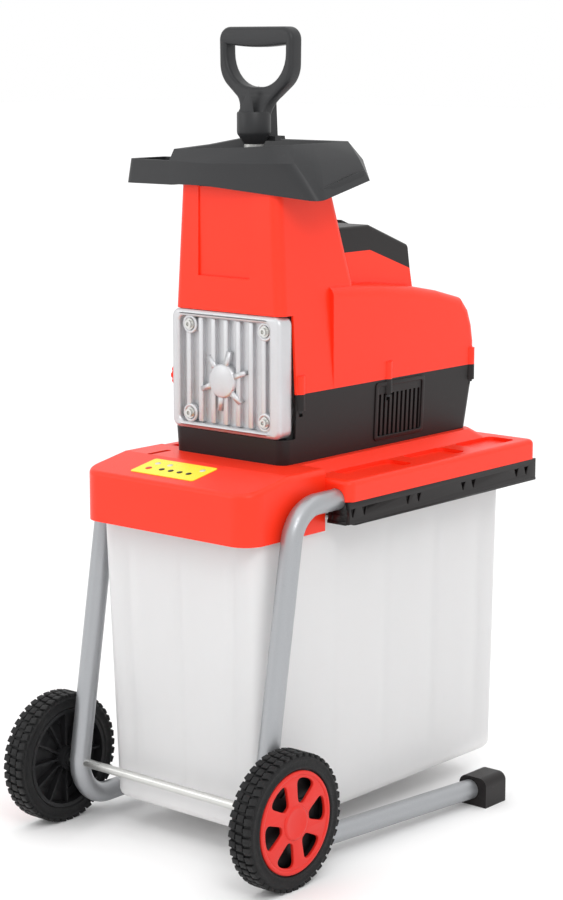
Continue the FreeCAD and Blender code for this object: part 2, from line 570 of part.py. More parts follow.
def slope_place(x, y):
    """A point on the control box's rear slope and the slope's outward normal."""
    fall = (BOX_TOP_Z - 786) / 83
    normal = V(0, fall, 1).normalize()
    return V(x, y, BOX_TOP_Z - fall * (y - 83)), normal


def push_button(x, y, radius, height):
    cap = rod(radius, (x, y, BOX_TOP_Z - 6), (x, y, BOX_TOP_Z + height))
    cap = rounded(cap, 1.5, lambda e: abs(e.CenterOfMass.z - BOX_TOP_Z - height) < 0.1)
    return joined([cap, rod(4, (x, y, BOX_TOP_Z - 14), (x, y, BOX_TOP_Z - 5))])


def reset_button():
    centre, normal = slope_place(-48, 125)
    cap = Part.makeCylinder(6, 9, centre - normal * 6, normal)
    return cap.fuse(Part.makeCylinder(2.5, 8, centre - normal * 13, normal)).removeSplitter()


def direction_selector():
    centre, normal = slope_place(0, 125)
    disc = Part.makeCylinder(17, 4, centre + normal * SLIDING, normal)
    stem = Part.makeCylinder(6, 14, centre - normal * 12, normal)
    ridge = box(-5, 5, 125 - 16, 125 + 16, 0, 12)
    ridge.translate(V(0, 0, centre.z))
    ridge.rotate(centre, V(1, 0, 0), -degrees(atan2(normal.y, normal.z)))
    ridge = ridge.common(Part.makeCylinder(17, 40, centre + normal, normal))
    return joined([disc, stem, ridge])


def switch_module():
    body = box(-46, 46, 34, 76, 762, BOX_TOP_Z - 14 - 4)
    return body.fuse(box(-58, 58, 34, 76, 783 + SEAT, 787)).removeSplitter()


def mains_inlet():
    x, y, z = -NECK_HALF, INLET_Y, INLET_Z
    shroud = tube(14, 11.5, (x - 12, y, z), (x + 12, y, z))
    collar = tube(18, 11.5, (x - 3, y, z), (x - SEAT, y, z))
    back = rod(14, (x + 10, y, z), (x + 14, y, z))
    pins = [rod(2, (x - 6, y + dy, z + dz), (x + 11, y + dy, z + dz))
            for dy, dz in ((-5, 0), (5, 0), (0, 6))]
    return joined([shroud, collar, back] + pins)


# ---------------------------------------------------------------- cutting unit

def cutter_cover():
    """Cast front cover: raised border, ribbed panel, round bearing boss with webs, wrapped sides."""
    back = COVER_FRONT + 8
    plate = box(-COVER_HALF, COVER_HALF, back, back + COVER_PLATE, COVER_Z0, COVER_Z1)
    frame = box(-COVER_HALF, COVER_HALF, COVER_FRONT, back, COVER_Z0, COVER_Z1)
    frame = rounded(frame, 3, lambda e: abs(e.CenterOfMass.y - COVER_FRONT) < 0.1)
    panel = (-COVER_HALF + COVER_BORDER, COVER_HALF - COVER_BORDER - 4, COVER_FRONT - 1, back,
             COVER_Z0 + 7, COVER_Z1 - 11)
    frame = frame.cut(rounded(box(*panel), 8, lambda e: e.BoundBox.YLength > 3))
    wraps = box(-COVER_HALF, COVER_HALF, back, back + COVER_WRAP, COVER_Z0, COVER_Z1).cut(
        box(-COVER_HALF + 5, COVER_HALF - 5, back, back + COVER_WRAP + 1, COVER_Z0 + 5, COVER_Z1 - 5))
    span = panel[1] - panel[0]
    ribs = []
    for number in range(COVER_RIBS):
        x = panel[0] + span * (number + 0.75) / (COVER_RIBS + 0.5)
        ribs.append(box(x - RIB_WIDTH / 2, x + RIB_WIDTH / 2, COVER_FRONT + 2.5, back + 1,
                        COVER_Z0 + 6, COVER_Z1 - 10))
    centre = (DRUM_X, COVER_FRONT - 2, DRUM_Z)
    web = box(DRUM_X - 3, DRUM_X + 3, COVER_FRONT + 1, back + 1, DRUM_Z + 15, DRUM_Z + 40)
    webs = [spun(web, centre, (0, 1, 0), turn) for turn in (20, 80, 140, 200, 260, 320)]
    boss = rod(COVER_BOSS_R, centre, (DRUM_X, back + 1, DRUM_Z))
    collar = tube(COVER_BOSS_R + 11, COVER_BOSS_R, (DRUM_X, COVER_FRONT + 5.5, DRUM_Z),
                  (DRUM_X, back + 1, DRUM_Z))
    pads = [rod(9, (x, COVER_FRONT + 3, z), (x, back + 1, z)) for x, z in cover_screw_places()]
    seat = tube(BEARING_R + 4, BEARING_R + RUNNING, (DRUM_X, back + COVER_PLATE - 1, DRUM_Z),
                (DRUM_X, back + COVER_PLATE + BEARING_WIDTH - 1, DRUM_Z))
    body = joined([plate, frame, wraps, boss, collar, seat] + ribs + webs + pads)
    pocket = rod(BEARING_R + RUNNING, (DRUM_X, back + COVER_PLATE - 1, DRUM_Z),
                 (DRUM_X, back + COVER_PLATE + 30, DRUM_Z))
    cuts = [pocket]
    for x, z in cover_screw_places():
        cuts.append(rod(3 + SEAT, (x, COVER_FRONT - 5, z), (x, back + COVER_PLATE + 5, z)))
        cuts.append(rod(9, (x, COVER_FRONT - 5, z), (x, COVER_FRONT + 3, z)))
    return body.cut(cuts)


def cover_screw_places():
    middle_z = (COVER_Z0 + COVER_Z1) / 2
    return [(sx * COVER_SCREW_X, middle_z + sz * COVER_SCREW_Z) for sx in (-1, 1) for sz in (-1, 1)]


def cover_screws():
    screws = []
    for x, z in cover_screw_places():
        face = COVER_FRONT + 3 - SEAT
        shank = rod(3, (x, face - 1, z), (x, CHAMBER_Y0 + 14, z))
        head = tube(5.5, 2.6, (x, face - 5, z), (x, face, z)).fuse(rod(3, (x, face - 2, z), (x, face, z)))
        screws.append(joined([shank, head, tube(7.5, 3, (x, face - 0.8, z), (x, face, z))]))
    return group(screws)


def cutter_housing():
    body = box(-CHAMBER_HALF, CHAMBER_HALF, CHAMBER_Y0, CHAMBER_Y1, CHAMBER_Z0, CHAMBER_Z1)
    inner = box(-CHAMBER_HALF + CHAMBER_WALL, CHAMBER_HALF - CHAMBER_WALL, CHAMBER_Y0 - 1,
                CHAMBER_Y1 - CHAMBER_BACK, CHAMBER_Z0 - 1, CHAMBER_Z1 + 1)
    posts = [box(x - 9, x + 9, CHAMBER_Y0, CHAMBER_Y0 + 14, z - 9, z + 9)
             for x, z in cover_screw_places()]
    body = body.cut(inner).fuse(posts).removeSplitter()
    cuts = [rod(BEARING_R + RUNNING, (DRUM_X, CHAMBER_Y1 - BEARING_WIDTH, DRUM_Z),
                (DRUM_X, CHAMBER_Y1 + 1, DRUM_Z)),
            rod(DRUM_SHAFT_R + FREE, (DRUM_X, CHAMBER_Y1 - 20, DRUM_Z), (DRUM_X, CHAMBER_Y1, DRUM_Z)),
            rod(SCREW_R + RUNNING, (-CHAMBER_HALF - 1, SCREW_Y, SCREW_Z),
                (-CHAMBER_HALF + CHAMBER_WALL + 1, SCREW_Y, SCREW_Z)),
            cover_back_room()]
    wrap_end = COVER_FRONT + 8 + COVER_WRAP + SLIDING
    for z0, z1 in ((CHAMBER_Z0 - 1, COVER_Z0 + 5 + SLIDING), (COVER_Z1 - 5 - SLIDING, CHAMBER_Z1 + 1)):
        cuts.append(box(-CHAMBER_HALF - 1, CHAMBER_HALF + 1, CHAMBER_Y0 - 1, wrap_end, z0, z1))
    for x, z in cover_screw_places():
        cuts.append(rod(3 + SEAT, (x, CHAMBER_Y0 - 1, z), (x, CHAMBER_Y0 + 15, z)))
    return body.cut(cuts)


def cover_back_room():
    """Space behind the cover plate for the bearing seat cast on it."""
    return rod(BEARING_R + 4 + FREE, (DRUM_X, CHAMBER_Y0 - 1, DRUM_Z), (DRUM_X, CHAMBER_Y0 + 14, DRUM_Z))


def cutter_drum():
    points = []
    for number in range(DRUM_TEETH):
        start = 2 * pi * number / DRUM_TEETH
        for share, radius in ((0.0, DRUM_R), (0.10, DRUM_R - 0.5), (0.16, DRUM_R - 12), (0.55, DRUM_R - 13),
                              (0.86, DRUM_R - 5)):
            angle = start + share * 2 * pi / DRUM_TEETH
            points.append((DRUM_X + radius * cos(angle), DRUM_Z + radius * sin(angle)))
    body = prism(points, "xz", DRUM_Y0, DRUM_Y1)
    return body.cut(rod(DRUM_SHAFT_R + RUNNING, (DRUM_X, DRUM_Y0 - 1, DRUM_Z), (DRUM_X, DRUM_Y1 + 1, DRUM_Z)))


def drum_shaft():
    return rod(DRUM_SHAFT_R, (DRUM_X, COVER_FRONT + 8 + COVER_PLATE, DRUM_Z),
               (DRUM_X, LAYER_1 + GEAR_WIDTH + 4, DRUM_Z))


def drum_bearings():
    front = COVER_FRONT + 8 + COVER_PLATE - 1 + SEAT
    return group([tube(BEARING_R, DRUM_SHAFT_R + RUNNING, (DRUM_X, y, DRUM_Z),
                       (DRUM_X, y + BEARING_WIDTH - 2 * SEAT, DRUM_Z))
                  for y in (front, CHAMBER_Y1 - BEARING_WIDTH + SEAT)])


def plate_face():
    return DRUM_X - DRUM_R - PLATE_GAP


def pressure_plate():
    face, middle = plate_face(), DRUM_Z
    body = box(face - PLATE_BODY, face, DRUM_Y0, CHAMBER_Y1 - CHAMBER_BACK - SLIDING,
               middle - PLATE_HEIGHT / 2, middle + PLATE_HEIGHT / 2)
    steps = [box(face - 1.5, face + 1, DRUM_Y0 - 1, CHAMBER_Y1, middle + dz, middle + dz + 3)
             for dz in (-28, -20, -12, 12, 20, 28)]
    return body.cut(steps)


def adjust_screw():
    tip = plate_face() - PLATE_BODY - SLIDING
    return rod(SCREW_R, (-KNOB_X0 - KNOB_LENGTH + 2, SCREW_Y, SCREW_Z), (tip, SCREW_Y, SCREW_Z))


def adjust_knob():
    outer, inner = -KNOB_X0 - KNOB_LENGTH, -KNOB_X0
    body = rod(KNOB_R, (outer, SCREW_Y, SCREW_Z), (inner, SCREW_Y, SCREW_Z))
    flute = rod(3, (outer - 1, SCREW_Y, SCREW_Z + KNOB_R + 1), (inner + 1, SCREW_Y, SCREW_Z + KNOB_R + 1))
    flutes = [spun(flute, (0, SCREW_Y, SCREW_Z), (1, 0, 0), 360 * i / 10) for i in range(10)]
    bore = rod(SCREW_R + RUNNING, (outer + 2, SCREW_Y, SCREW_Z), (inner + 1, SCREW_Y, SCREW_Z))
    return body.cut(flutes + [bore])


# ---------------------------------------------------------------- gear train

PITCH = MODULE * (GEAR_TEETH + PINION_TEETH) / 2
GEAR_R, PINION_R = MODULE * GEAR_TEETH / 2, MODULE * PINION_TEETH / 2


def meet(a, b, reach):
    """The point at the given reach from both a and b, to the right of the way from a to b."""
    dx, dz = b[0] - a[0], b[1] - a[1]
    gap = hypot(dx, dz)
    height = sqrt(reach * reach - gap * gap / 4)
    return (a[0] + dx / 2 + height * dz / gap, a[1] + dz / 2 - height * dx / gap)


DRUM_AXIS, MOTOR_AXIS = (DRUM_X, DRUM_Z), (MOTOR_X, MOTOR_Z)
SECOND_AXIS = (DRUM_X + PITCH * cos(radians(60)), DRUM_Z + PITCH * sin(radians(60)))
FIRST_AXIS = meet(MOTOR_AXIS, SECOND_AXIS, PITCH)


def bearing_of(a, b):
    return atan2(b[1] - a[1], b[0] - a[0])


def gear(teeth, axis, y0, width, turn, addendum):
    """Spur gear with involute flanks, a tooth centred on the angle turn, thinned for backlash."""
    pitch_r = MODULE * teeth / 2
    base_r, root_r, tip_r = pitch_r * cos(radians(20)), pitch_r - 1.2 * MODULE, pitch_r + addendum
    def flank(radius):
        roll = acos(min(1.0, base_r / max(radius, base_r)))
        pitch_roll = radians(20)
        thinned = pi / (2 * teeth) - 0.12 * MODULE / pitch_r
        return thinned + (tan(pitch_roll) - pitch_roll) - (tan(roll) - roll)
    levels = [root_r, max(root_r + 0.05, base_r), pitch_r, tip_r]
    points = []
    for number in range(teeth):
        middle = turn + 2 * pi * number / teeth
        for radius in levels:
            points.append((radius, middle - flank(radius)))
        for radius in reversed(levels):
            points.append((radius, middle + flank(radius)))
    return prism([(axis[0] + r * cos(a), axis[1] + r * sin(a)) for r, a in points], "xz", y0, y0 + width)


def big_gear(axis, y0, turn):
    return gear(GEAR_TEETH, axis, y0, GEAR_WIDTH, turn, 0.75 * MODULE)


def pinion(axis, y0, turn):
    return gear(PINION_TEETH, axis, y0 - 1, GEAR_WIDTH + 2, turn, 0.9 * MODULE)


def mesh_turns(gear_axis, pinion_axis):
    """Turn of a gear and of the pinion beside it so that a gear tooth sits in a pinion gap."""
    to_pinion = bearing_of(gear_axis, pinion_axis)
    return to_pinion, to_pinion + pi + pi / PINION_TEETH


def on_axis(radius, axis, y0, y1):
    return rod(radius, (axis[0], y0, axis[1]), (axis[0], y1, axis[1]))


def output_gear():
    turn, _ = mesh_turns(DRUM_AXIS, SECOND_AXIS)
    return big_gear(DRUM_AXIS, LAYER_1, turn).cut(on_axis(DRUM_SHAFT_R + RUNNING, DRUM_AXIS, -20, 60))


def second_gear():
    """Compound gear: its pinion drives the output gear, its wheel is driven by the first gear."""
    _, pinion_turn = mesh_turns(DRUM_AXIS, SECOND_AXIS)
    wheel_turn, _ = mesh_turns(SECOND_AXIS, FIRST_AXIS)
    arbor = on_axis(ARBOR_R, SECOND_AXIS, CHAMBER_Y1 + 3, GEARBOX_END + 4)
    return joined([big_gear(SECOND_AXIS, LAYER_2, wheel_turn), pinion(SECOND_AXIS, LAYER_1, pinion_turn),
                   on_axis(PINION_R - 2, SECOND_AXIS, LAYER_1 + GEAR_WIDTH, LAYER_2 + 1), arbor])


def first_gear():
    _, pinion_turn = mesh_turns(SECOND_AXIS, FIRST_AXIS)
    wheel_turn, _ = mesh_turns(FIRST_AXIS, MOTOR_AXIS)
    arbor = on_axis(ARBOR_R, FIRST_AXIS, CHAMBER_Y1 + 3, GEARBOX_END + 4)
    return joined([big_gear(FIRST_AXIS, LAYER_3, wheel_turn), pinion(FIRST_AXIS, LAYER_2, pinion_turn),
                   on_axis(PINION_R - 2, FIRST_AXIS, LAYER_2 + GEAR_WIDTH, LAYER_3 + 1), arbor])


def motor_pinion():
    _, turn = mesh_turns(FIRST_AXIS, MOTOR_AXIS)
    return pinion(MOTOR_AXIS, LAYER_3, turn).cut(on_axis(4 + RUNNING, MOTOR_AXIS, 0, 60))


def gearbox_room():
    left, right = DRUM_X - GEAR_R - 8, FIRST_AXIS[0] + GEAR_R + 8
    return left, right, DRUM_Z - GEAR_R - 10, SECOND_AXIS[1] + GEAR_R + 8


def gearbox_case():
    x0, x1, z0, z1 = gearbox_room()
    wall = CASE_BOX_WALL
    body = box(x0 - wall, x1 + wall, CHAMBER_Y1, GEARBOX_END, z0 - wall, z1 + wall)
    body = rounded(body, 14, lambda e: e.BoundBox.YLength > 30)
    inner = box(x0, x1, CHAMBER_Y1 + CASE_FLOOR, GEARBOX_END + 1, z0, z1)
    inner = rounded(inner, 8, lambda e: e.BoundBox.YLength > 30)
    cuts = [inner, on_axis(DRUM_SHAFT_R + RUNNING, DRUM_AXIS, CHAMBER_Y1 - 1, CHAMBER_Y1 + 20)]
    for axis in (SECOND_AXIS, FIRST_AXIS):
        cuts.append(on_axis(ARBOR_R + RUNNING, axis, CHAMBER_Y1 + 2, CHAMBER_Y1 + 20))
    return body.cut(cuts)


def gearbox_cover():
    x0, x1, z0, z1 = gearbox_room()
    wall = CASE_BOX_WALL
    body = box(x0 - wall, x1 + wall, GEARBOX_END, GEARBOX_END + MOTOR_PLATE, z0 - wall, z1 + wall)
    body = rounded(body, 14, lambda e: e.BoundBox.YLength > 5)
    bell = tube(STATOR_R, STATOR_R - 5, (MOTOR_X, GEARBOX_END + MOTOR_PLATE - 1, MOTOR_Z),
                (MOTOR_X, STATOR_Y0, MOTOR_Z))
    body = joined([body, bell])
    cuts = [on_axis(MOTOR_BEARING_R + RUNNING, MOTOR_AXIS, GEARBOX_END - 1, GEARBOX_END + MOTOR_PLATE + 1)]
    for axis in (SECOND_AXIS, FIRST_AXIS):
        cuts.append(on_axis(ARBOR_R + RUNNING, axis, GEARBOX_END - 1, GEARBOX_END + 5))
    return body.cut(cuts)


# ---------------------------------------------------------------- motor and electrics

def motor_stator():
    bore = ROTOR_R + AIR_GAP
    body = tube(STATOR_R, bore, (MOTOR_X, STATOR_Y0, MOTOR_Z), (MOTOR_X, STATOR_Y1, MOTOR_Z))
    slot = box(-1.2, 1.2, STATOR_Y0 - 1, STATOR_Y1 + 1, MOTOR_Z + bore - 1, MOTOR_Z + bore + 11)
    slots = [spun(slot, (0, 0, MOTOR_Z), (0, 1, 0), 360 * i / 24) for i in range(24)]
    for slot in slots:
        slot.translate(V(MOTOR_X, 0, 0))
    return body.cut(slots)


def motor_windings():
    rings = [tube(STATOR_R - 7, ROTOR_R + 4, (MOTOR_X, y0, MOTOR_Z), (MOTOR_X, y1, MOTOR_Z))
             for y0, y1 in ((STATOR_Y0 - 11, STATOR_Y0), (STATOR_Y1, STATOR_Y1 + 11))]
    return group([rounded(ring, 3.5, lambda e: e.Length > 60) for ring in rings])


def motor_rotor():
    stack = case_rod(ROTOR_R, STATOR_Y0, STATOR_Y1)
    shaft = case_rod(MOTOR_SHAFT_R, GEARBOX_END, FAN_Y0 + FAN_WIDTH + 4)
    nose = case_rod(4, LAYER_3 - 1, GEARBOX_END + 1)
    return joined([stack, shaft, nose])


def motor_bearings():
    return group([tube(MOTOR_BEARING_R, MOTOR_SHAFT_R + RUNNING,
                       (MOTOR_X, y, MOTOR_Z), (MOTOR_X, y + 9, MOTOR_Z))
                  for y in (GEARBOX_END + 0.5, STATOR_Y1 + 14.5)])


def motor_end_shield():
    ring = tube(STATOR_R, STATOR_R - 5, (MOTOR_X, STATOR_Y1, MOTOR_Z), (MOTOR_X, STATOR_Y1 + 24, MOTOR_Z))
    plate = case_rod(STATOR_R - 1, STATOR_Y1 + 14, STATOR_Y1 + 24)
    holes = [rod(6, (MOTOR_X + 30 * cos(a), STATOR_Y1, MOTOR_Z + 30 * sin(a)),
                 (MOTOR_X + 30 * cos(a), STATOR_Y1 + 30, MOTOR_Z + 30 * sin(a)))
             for a in (2 * pi * i / 6 for i in range(6))]
    return joined([ring, plate]).cut(holes + [case_rod(MOTOR_BEARING_R + RUNNING, STATOR_Y1, STATOR_Y1 + 30)])


def cooling_fan():
    hub = case_rod(12, FAN_Y0, FAN_Y0 + FAN_WIDTH)
    disc = case_rod(FAN_R, FAN_Y0, FAN_Y0 + 2)
    blade = box(MOTOR_X - 1, MOTOR_X + 1, FAN_Y0 + 1, FAN_Y0 + FAN_WIDTH, MOTOR_Z + 10, MOTOR_Z + FAN_R)
    blades = [spun(blade, (MOTOR_X, 0, MOTOR_Z), (0, 1, 0), 360 * i / 9) for i in range(9)]
    return joined([hub, disc] + blades).cut(case_rod(MOTOR_SHAFT_R + RUNNING, FAN_Y0 - 1, FAN_Y0 + 40))


def capacitor():
    body = rod(CAPACITOR_R, (CAPACITOR_X, 92, CAPACITOR_Z), (CAPACITOR_X, 158, CAPACITOR_Z))
    return rounded(body, 2, lambda e: e.Length > 60)


def capacitor_clip():
    """Strap round the capacitor with a foot that follows the stator."""
    dx, dz = MOTOR_X - CAPACITOR_X, MOTOR_Z - CAPACITOR_Z
    reach = hypot(dx, dz)
    ax, az = dx / reach, dz / reach
    near, far, half = CAPACITOR_R - 2, reach - STATOR_R + 8, 12
    corners = [(CAPACITOR_X + ax * d - az * s * half, CAPACITOR_Z + az * d + ax * s * half)
               for d, s in ((near, 1), (near, -1), (far, -1), (far, 1))]
    strap = rod(CAPACITOR_R + 3, (CAPACITOR_X, 115, CAPACITOR_Z), (CAPACITOR_X, 135, CAPACITOR_Z))
    body = joined([strap, prism(corners, "xz", 115, 135)])
    return body.cut([rod(CAPACITOR_R + SEAT, (CAPACITOR_X, 90, CAPACITOR_Z), (CAPACITOR_X, 160, CAPACITOR_Z)),
                     case_rod(STATOR_R + SEAT, 90, 160)])


def bin_switch():
    """Safety switch under the deck that the bin's rim holds down."""
    body = box(-20, 20, BIN_TOP_Y1 - 22, BIN_TOP_Y1 + 2, DECK_Z - DECK_WALL - 18, DECK_Z - DECK_WALL)
    return body.fuse(rod(2, (0, BIN_TOP_Y1 - 2, 453), (0, BIN_TOP_Y1 - 2, DECK_Z - 20))).removeSplitter()


# ---------------------------------------------------------------- hopper and pusher

def ring_wire(points, z):
    corners = [V(x, y, z) for x, y in points]
    return Part.makePolygon(corners + corners[:1])


def hopper_levels(inset):
    low = [(-118, -140), (-16, -142), (152, -110), (152, -4), (100, 42), (-118, 42)]
    crease = [(-100, -134), (-16, -140), (140, -112), (136, -8), (102, 30), (-106, 30)]
    rim = [(-92, -120), (-10, -122), (86, -119), (106, -30), (100, 11), (-94, 11)]
    middle = (5, -52)
    def drawn_in(points):
        return [(x - inset * (1 if x > middle[0] else -1), y - inset * (1 if y > middle[1] else -1))
                for x, y in points]
    return drawn_in(low), drawn_in(crease), drawn_in(rim)


def hopper():
    low, crease, rim = hopper_levels(0)
    outer = joined([loft([ring_wire(low, HOPPER_LOW_Z), ring_wire(crease, CREASE_Z)]),
                    loft([ring_wire(crease, CREASE_Z), ring_wire(rim, HOPPER_Z)])])
    wing = block(-181, -60, -121, -50, 873, CREASE_Z - 1, 12)
    low_in, crease_in, rim_in = hopper_levels(HOPPER_WALL)
    under = loft([ring_wire(low_in, HOPPER_LOW_Z - 1), ring_wire(crease_in, CREASE_Z - HOPPER_WALL)])
    wing_under = block(-181 + HOPPER_WALL, -60, -121 + HOPPER_WALL, -50 - HOPPER_WALL, 872,
                       CREASE_Z - 1 - HOPPER_WALL, 9)
    wall = 3.0
    collar = block(-THROAT_HALF - wall, THROAT_HALF + wall, THROAT_Y0 - wall, THROAT_Y1 + wall,
                   LEDGE_Z - 6, CREASE_Z, 8)
    throat = block(-THROAT_HALF, THROAT_HALF, THROAT_Y0, THROAT_Y1, LEDGE_Z, CREASE_Z + 1, 6)
    ledge = block(-THROAT_HALF + 6, THROAT_HALF - 6, THROAT_Y0 + 6, THROAT_Y1 - 6, LEDGE_Z - 10,
                  LEDGE_Z + 1, 4)
    funnel = loft([outline(-THROAT_HALF, THROAT_HALF, THROAT_Y0, THROAT_Y1, 6, CREASE_Z - 14),
                   outline(-80, 80, -113, 2, 16, HOPPER_Z + 4)])
    funnel_wall = loft([outline(-THROAT_HALF - wall, THROAT_HALF + wall, THROAT_Y0 - wall, THROAT_Y1 + wall,
                                8, CREASE_Z - 16),
                        outline(-83, 83, -116, 5, 18, HOPPER_Z)])
    body = joined([outer.cut(under), wing.cut([wing_under, under]), collar, funnel_wall.common(outer)])
    body = body.cut([throat, ledge, funnel])
    slope = box(-300, 300, -300, 300, -60, 0)
    slope.rotate(V(0, 0, 0), V(1, 0, 0), degrees(atan(0.2)))
    slope.rotate(V(0, 0, 0), V(0, 1, 0), degrees(atan(0.05)))
    slope.translate(V(0, -120, 868))
    keep_inner = block(-100, 100, -130, 20, 700, 1000, 5)
    return body.cut(slope.cut([keep_inner, box(-200, -110, -130, -40, 700, 1000)]))


def pusher_handle():
    half, bar = GRIP_HALF, GRIP_DEPTH / 2
    outer = [(-half, GRIP_TOP - 10), (-half + 10, GRIP_TOP), (half - 10, GRIP_TOP), (half, GRIP_TOP - 10),
             (half - 1, 1022), (half - 10, 1006), (26, 984), (22, 968), (-22, 968), (-26, 984),
             (-half + 10, 1006), (-half + 1, 1022)]
    inner = [(-half + 13, GRIP_TOP - 20), (0, GRIP_TOP - 24), (half - 13, GRIP_TOP - 20), (half - 14, 1026),
             (36, 1012), (18, 1004), (0, 1001), (-18, 1004), (-36, 1012), (-half + 14, 1026)]
    body = prism(outer, "xz", PUSHER_Y - bar, PUSHER_Y + bar)
    body = body.cut(prism(inner, "xz", PUSHER_Y - 40, PUSHER_Y + 40))
    body = rounded(body, 5, lambda e: e.BoundBox.YLength < 0.1 and e.CenterOfMass.z > 970)
    collar = rod(22.5, (0, PUSHER_Y, 936), (0, PUSHER_Y, 975))
    cone = Part.makeCone(14.5, 22.5, 13, V(0, PUSHER_Y, 923), V(0, 0, 1))
    fin = block(-13, 13, PUSHER_Y, PUSHER_Y + 38, 938, 990, 4)
    foot_pad = block(-16, 16, PUSHER_Y + 10, PUSHER_Y + 43, 934, 940, 4)
    bore = rod(PUSHER_SHAFT_R + RUNNING, (0, PUSHER_Y, 900), (0, PUSHER_Y, 962))
    return joined([body, collar, cone, fin, foot_pad]).cut(bore)


def pusher_shaft():
    return rod(PUSHER_SHAFT_R, (0, PUSHER_Y, LEDGE_Z + 5), (0, PUSHER_Y, 961))


def pusher_paddle():
    middle = (THROAT_Y0 + THROAT_Y1) / 2
    flange = block(-THROAT_HALF + SLIDING, THROAT_HALF - SLIDING, THROAT_Y0 + SLIDING, THROAT_Y1 - SLIDING,
                   LEDGE_Z + SLIDING, LEDGE_Z + 6, 5)
    outer = block(-THROAT_HALF + 8, THROAT_HALF - 8, THROAT_Y0 + 8, THROAT_Y1 - 8, 786, LEDGE_Z + 1, 4)
    inner = block(-THROAT_HALF + 12, THROAT_HALF - 12, THROAT_Y0 + 12, THROAT_Y1 - 12, 785, LEDGE_Z - 2, 2)
    socket = rod(PUSHER_SHAFT_R + 4, (0, PUSHER_Y, LEDGE_Z), (0, PUSHER_Y, LEDGE_Z + 16))
    bore = rod(PUSHER_SHAFT_R + RUNNING, (0, PUSHER_Y, LEDGE_Z + 5), (0, PUSHER_Y, LEDGE_Z + 20))
    return joined([flange, outer.cut(inner), socket]).cut(bore)


# ---------------------------------------------------------------- build

def main():
    os.makedirs("parts", exist_ok=True)
    paired = {
        "frame_tube": frame_tube(), "foot": foot(), "tyre": tyre(), "wheel_core": wheel_core(),
        "wheel_trim": wheel_trim(), "guide_rail": guide_rail(),
    }
    for name, shape in paired.items():
        save(f"{name}_right", shape)
        save(f"{name}_left", mirrored(shape))
    for name, maker in {"axle_spacers": axle_spacer, "axle_clips": axle_clip}.items():
        save(name, group([maker(), mirrored(maker())]))
    single = [
        axle, frame_bolts, deck, rail_screws, info_plate, collection_bin, bin_lock_slider, bin_switch,
        lower_housing, upper_housing, housing_screws, control_box, reset_button, direction_selector,
        switch_module, mains_inlet, cutter_cover, cover_screws, cutter_housing, cutter_drum, drum_shaft,
        drum_bearings, pressure_plate, adjust_screw, adjust_knob, output_gear, second_gear, first_gear,
        motor_pinion, gearbox_case, gearbox_cover, motor_stator, motor_windings, motor_rotor,
        motor_bearings, motor_end_shield, cooling_fan, capacitor, capacitor_clip, hopper,
        pusher_handle, pusher_shaft, pusher_paddle,
    ]
    for maker in single:
        save(maker.__name__, maker())
    save("start_button", push_button(-24, 50, 11, 5))
    save("stop_button", push_button(26, 50, 13, 7))


main()
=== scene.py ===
import json
from math import cos, pi, radians, sin

import bpy
import bmesh
from mathutils import Matrix, Vector


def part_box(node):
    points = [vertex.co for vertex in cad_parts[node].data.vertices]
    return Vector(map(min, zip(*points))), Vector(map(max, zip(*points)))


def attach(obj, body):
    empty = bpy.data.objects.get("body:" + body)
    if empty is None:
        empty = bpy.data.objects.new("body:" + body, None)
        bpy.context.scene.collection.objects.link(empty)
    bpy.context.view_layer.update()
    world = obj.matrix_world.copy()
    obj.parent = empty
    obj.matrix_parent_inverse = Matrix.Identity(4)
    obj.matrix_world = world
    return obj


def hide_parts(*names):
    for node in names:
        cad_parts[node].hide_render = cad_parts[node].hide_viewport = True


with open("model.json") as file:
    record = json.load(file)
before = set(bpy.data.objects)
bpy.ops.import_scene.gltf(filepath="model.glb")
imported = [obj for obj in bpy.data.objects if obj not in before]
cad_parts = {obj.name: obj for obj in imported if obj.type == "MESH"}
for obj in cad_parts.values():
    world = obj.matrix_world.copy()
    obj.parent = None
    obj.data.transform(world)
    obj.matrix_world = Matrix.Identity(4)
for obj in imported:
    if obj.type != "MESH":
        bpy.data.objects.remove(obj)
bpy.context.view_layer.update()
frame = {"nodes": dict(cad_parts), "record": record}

# ---------------------------------------------------------------- camera, light and floor

CAMERA_TURN, CAMERA_RISE = radians(40.48), radians(10.18)
CAMERA_PLACE = (1.9632, -2.3083, 1.0538)
CAMERA_LENS = 89.8
MACHINE_MIDDLE = Vector((0, 0, 0.5))


def set_camera():
    data = bpy.data.cameras.new("camera")
    data.lens = CAMERA_LENS
    camera = bpy.data.objects.new("camera", data)
    camera.location = CAMERA_PLACE
    camera.rotation_euler = (pi / 2 - CAMERA_RISE, 0, CAMERA_TURN)
    bpy.context.scene.collection.objects.link(camera)
    bpy.context.scene.camera = camera


def soft_light(name, place, size, power):
    """A round lamp that faces the middle of the machine."""
    data = bpy.data.lights.new(name, "AREA")
    data.shape = "DISK"
    data.size = size
    data.energy = power
    lamp = bpy.data.objects.new(name, data)
    lamp.location = place
    lamp.rotation_euler = (MACHINE_MIDDLE - Vector(place)).to_track_quat("-Z", "Y").to_euler()
    bpy.context.scene.collection.objects.link(lamp)


def set_studio():
    world = bpy.data.worlds.new("studio")
    bpy.context.scene.world = world
    world.use_nodes = True
    background = world.node_tree.nodes["Background"]
    background.inputs["Color"].default_value = (1, 1, 1, 1)
    background.inputs["Strength"].default_value = 1.0
    soft_light("key", (2.2, -1.8, 2.6), 1.2, 26)
    soft_light("fill", (-1.8, -2.4, 1.6), 1.4, 10)
    overhead = bpy.data.lights.new("overhead", "SUN")
    overhead.energy, overhead.angle = 0.75, radians(80)
    bpy.context.scene.collection.objects.link(bpy.data.objects.new("overhead", overhead))
    bpy.context.scene.view_settings.view_transform = "Standard"


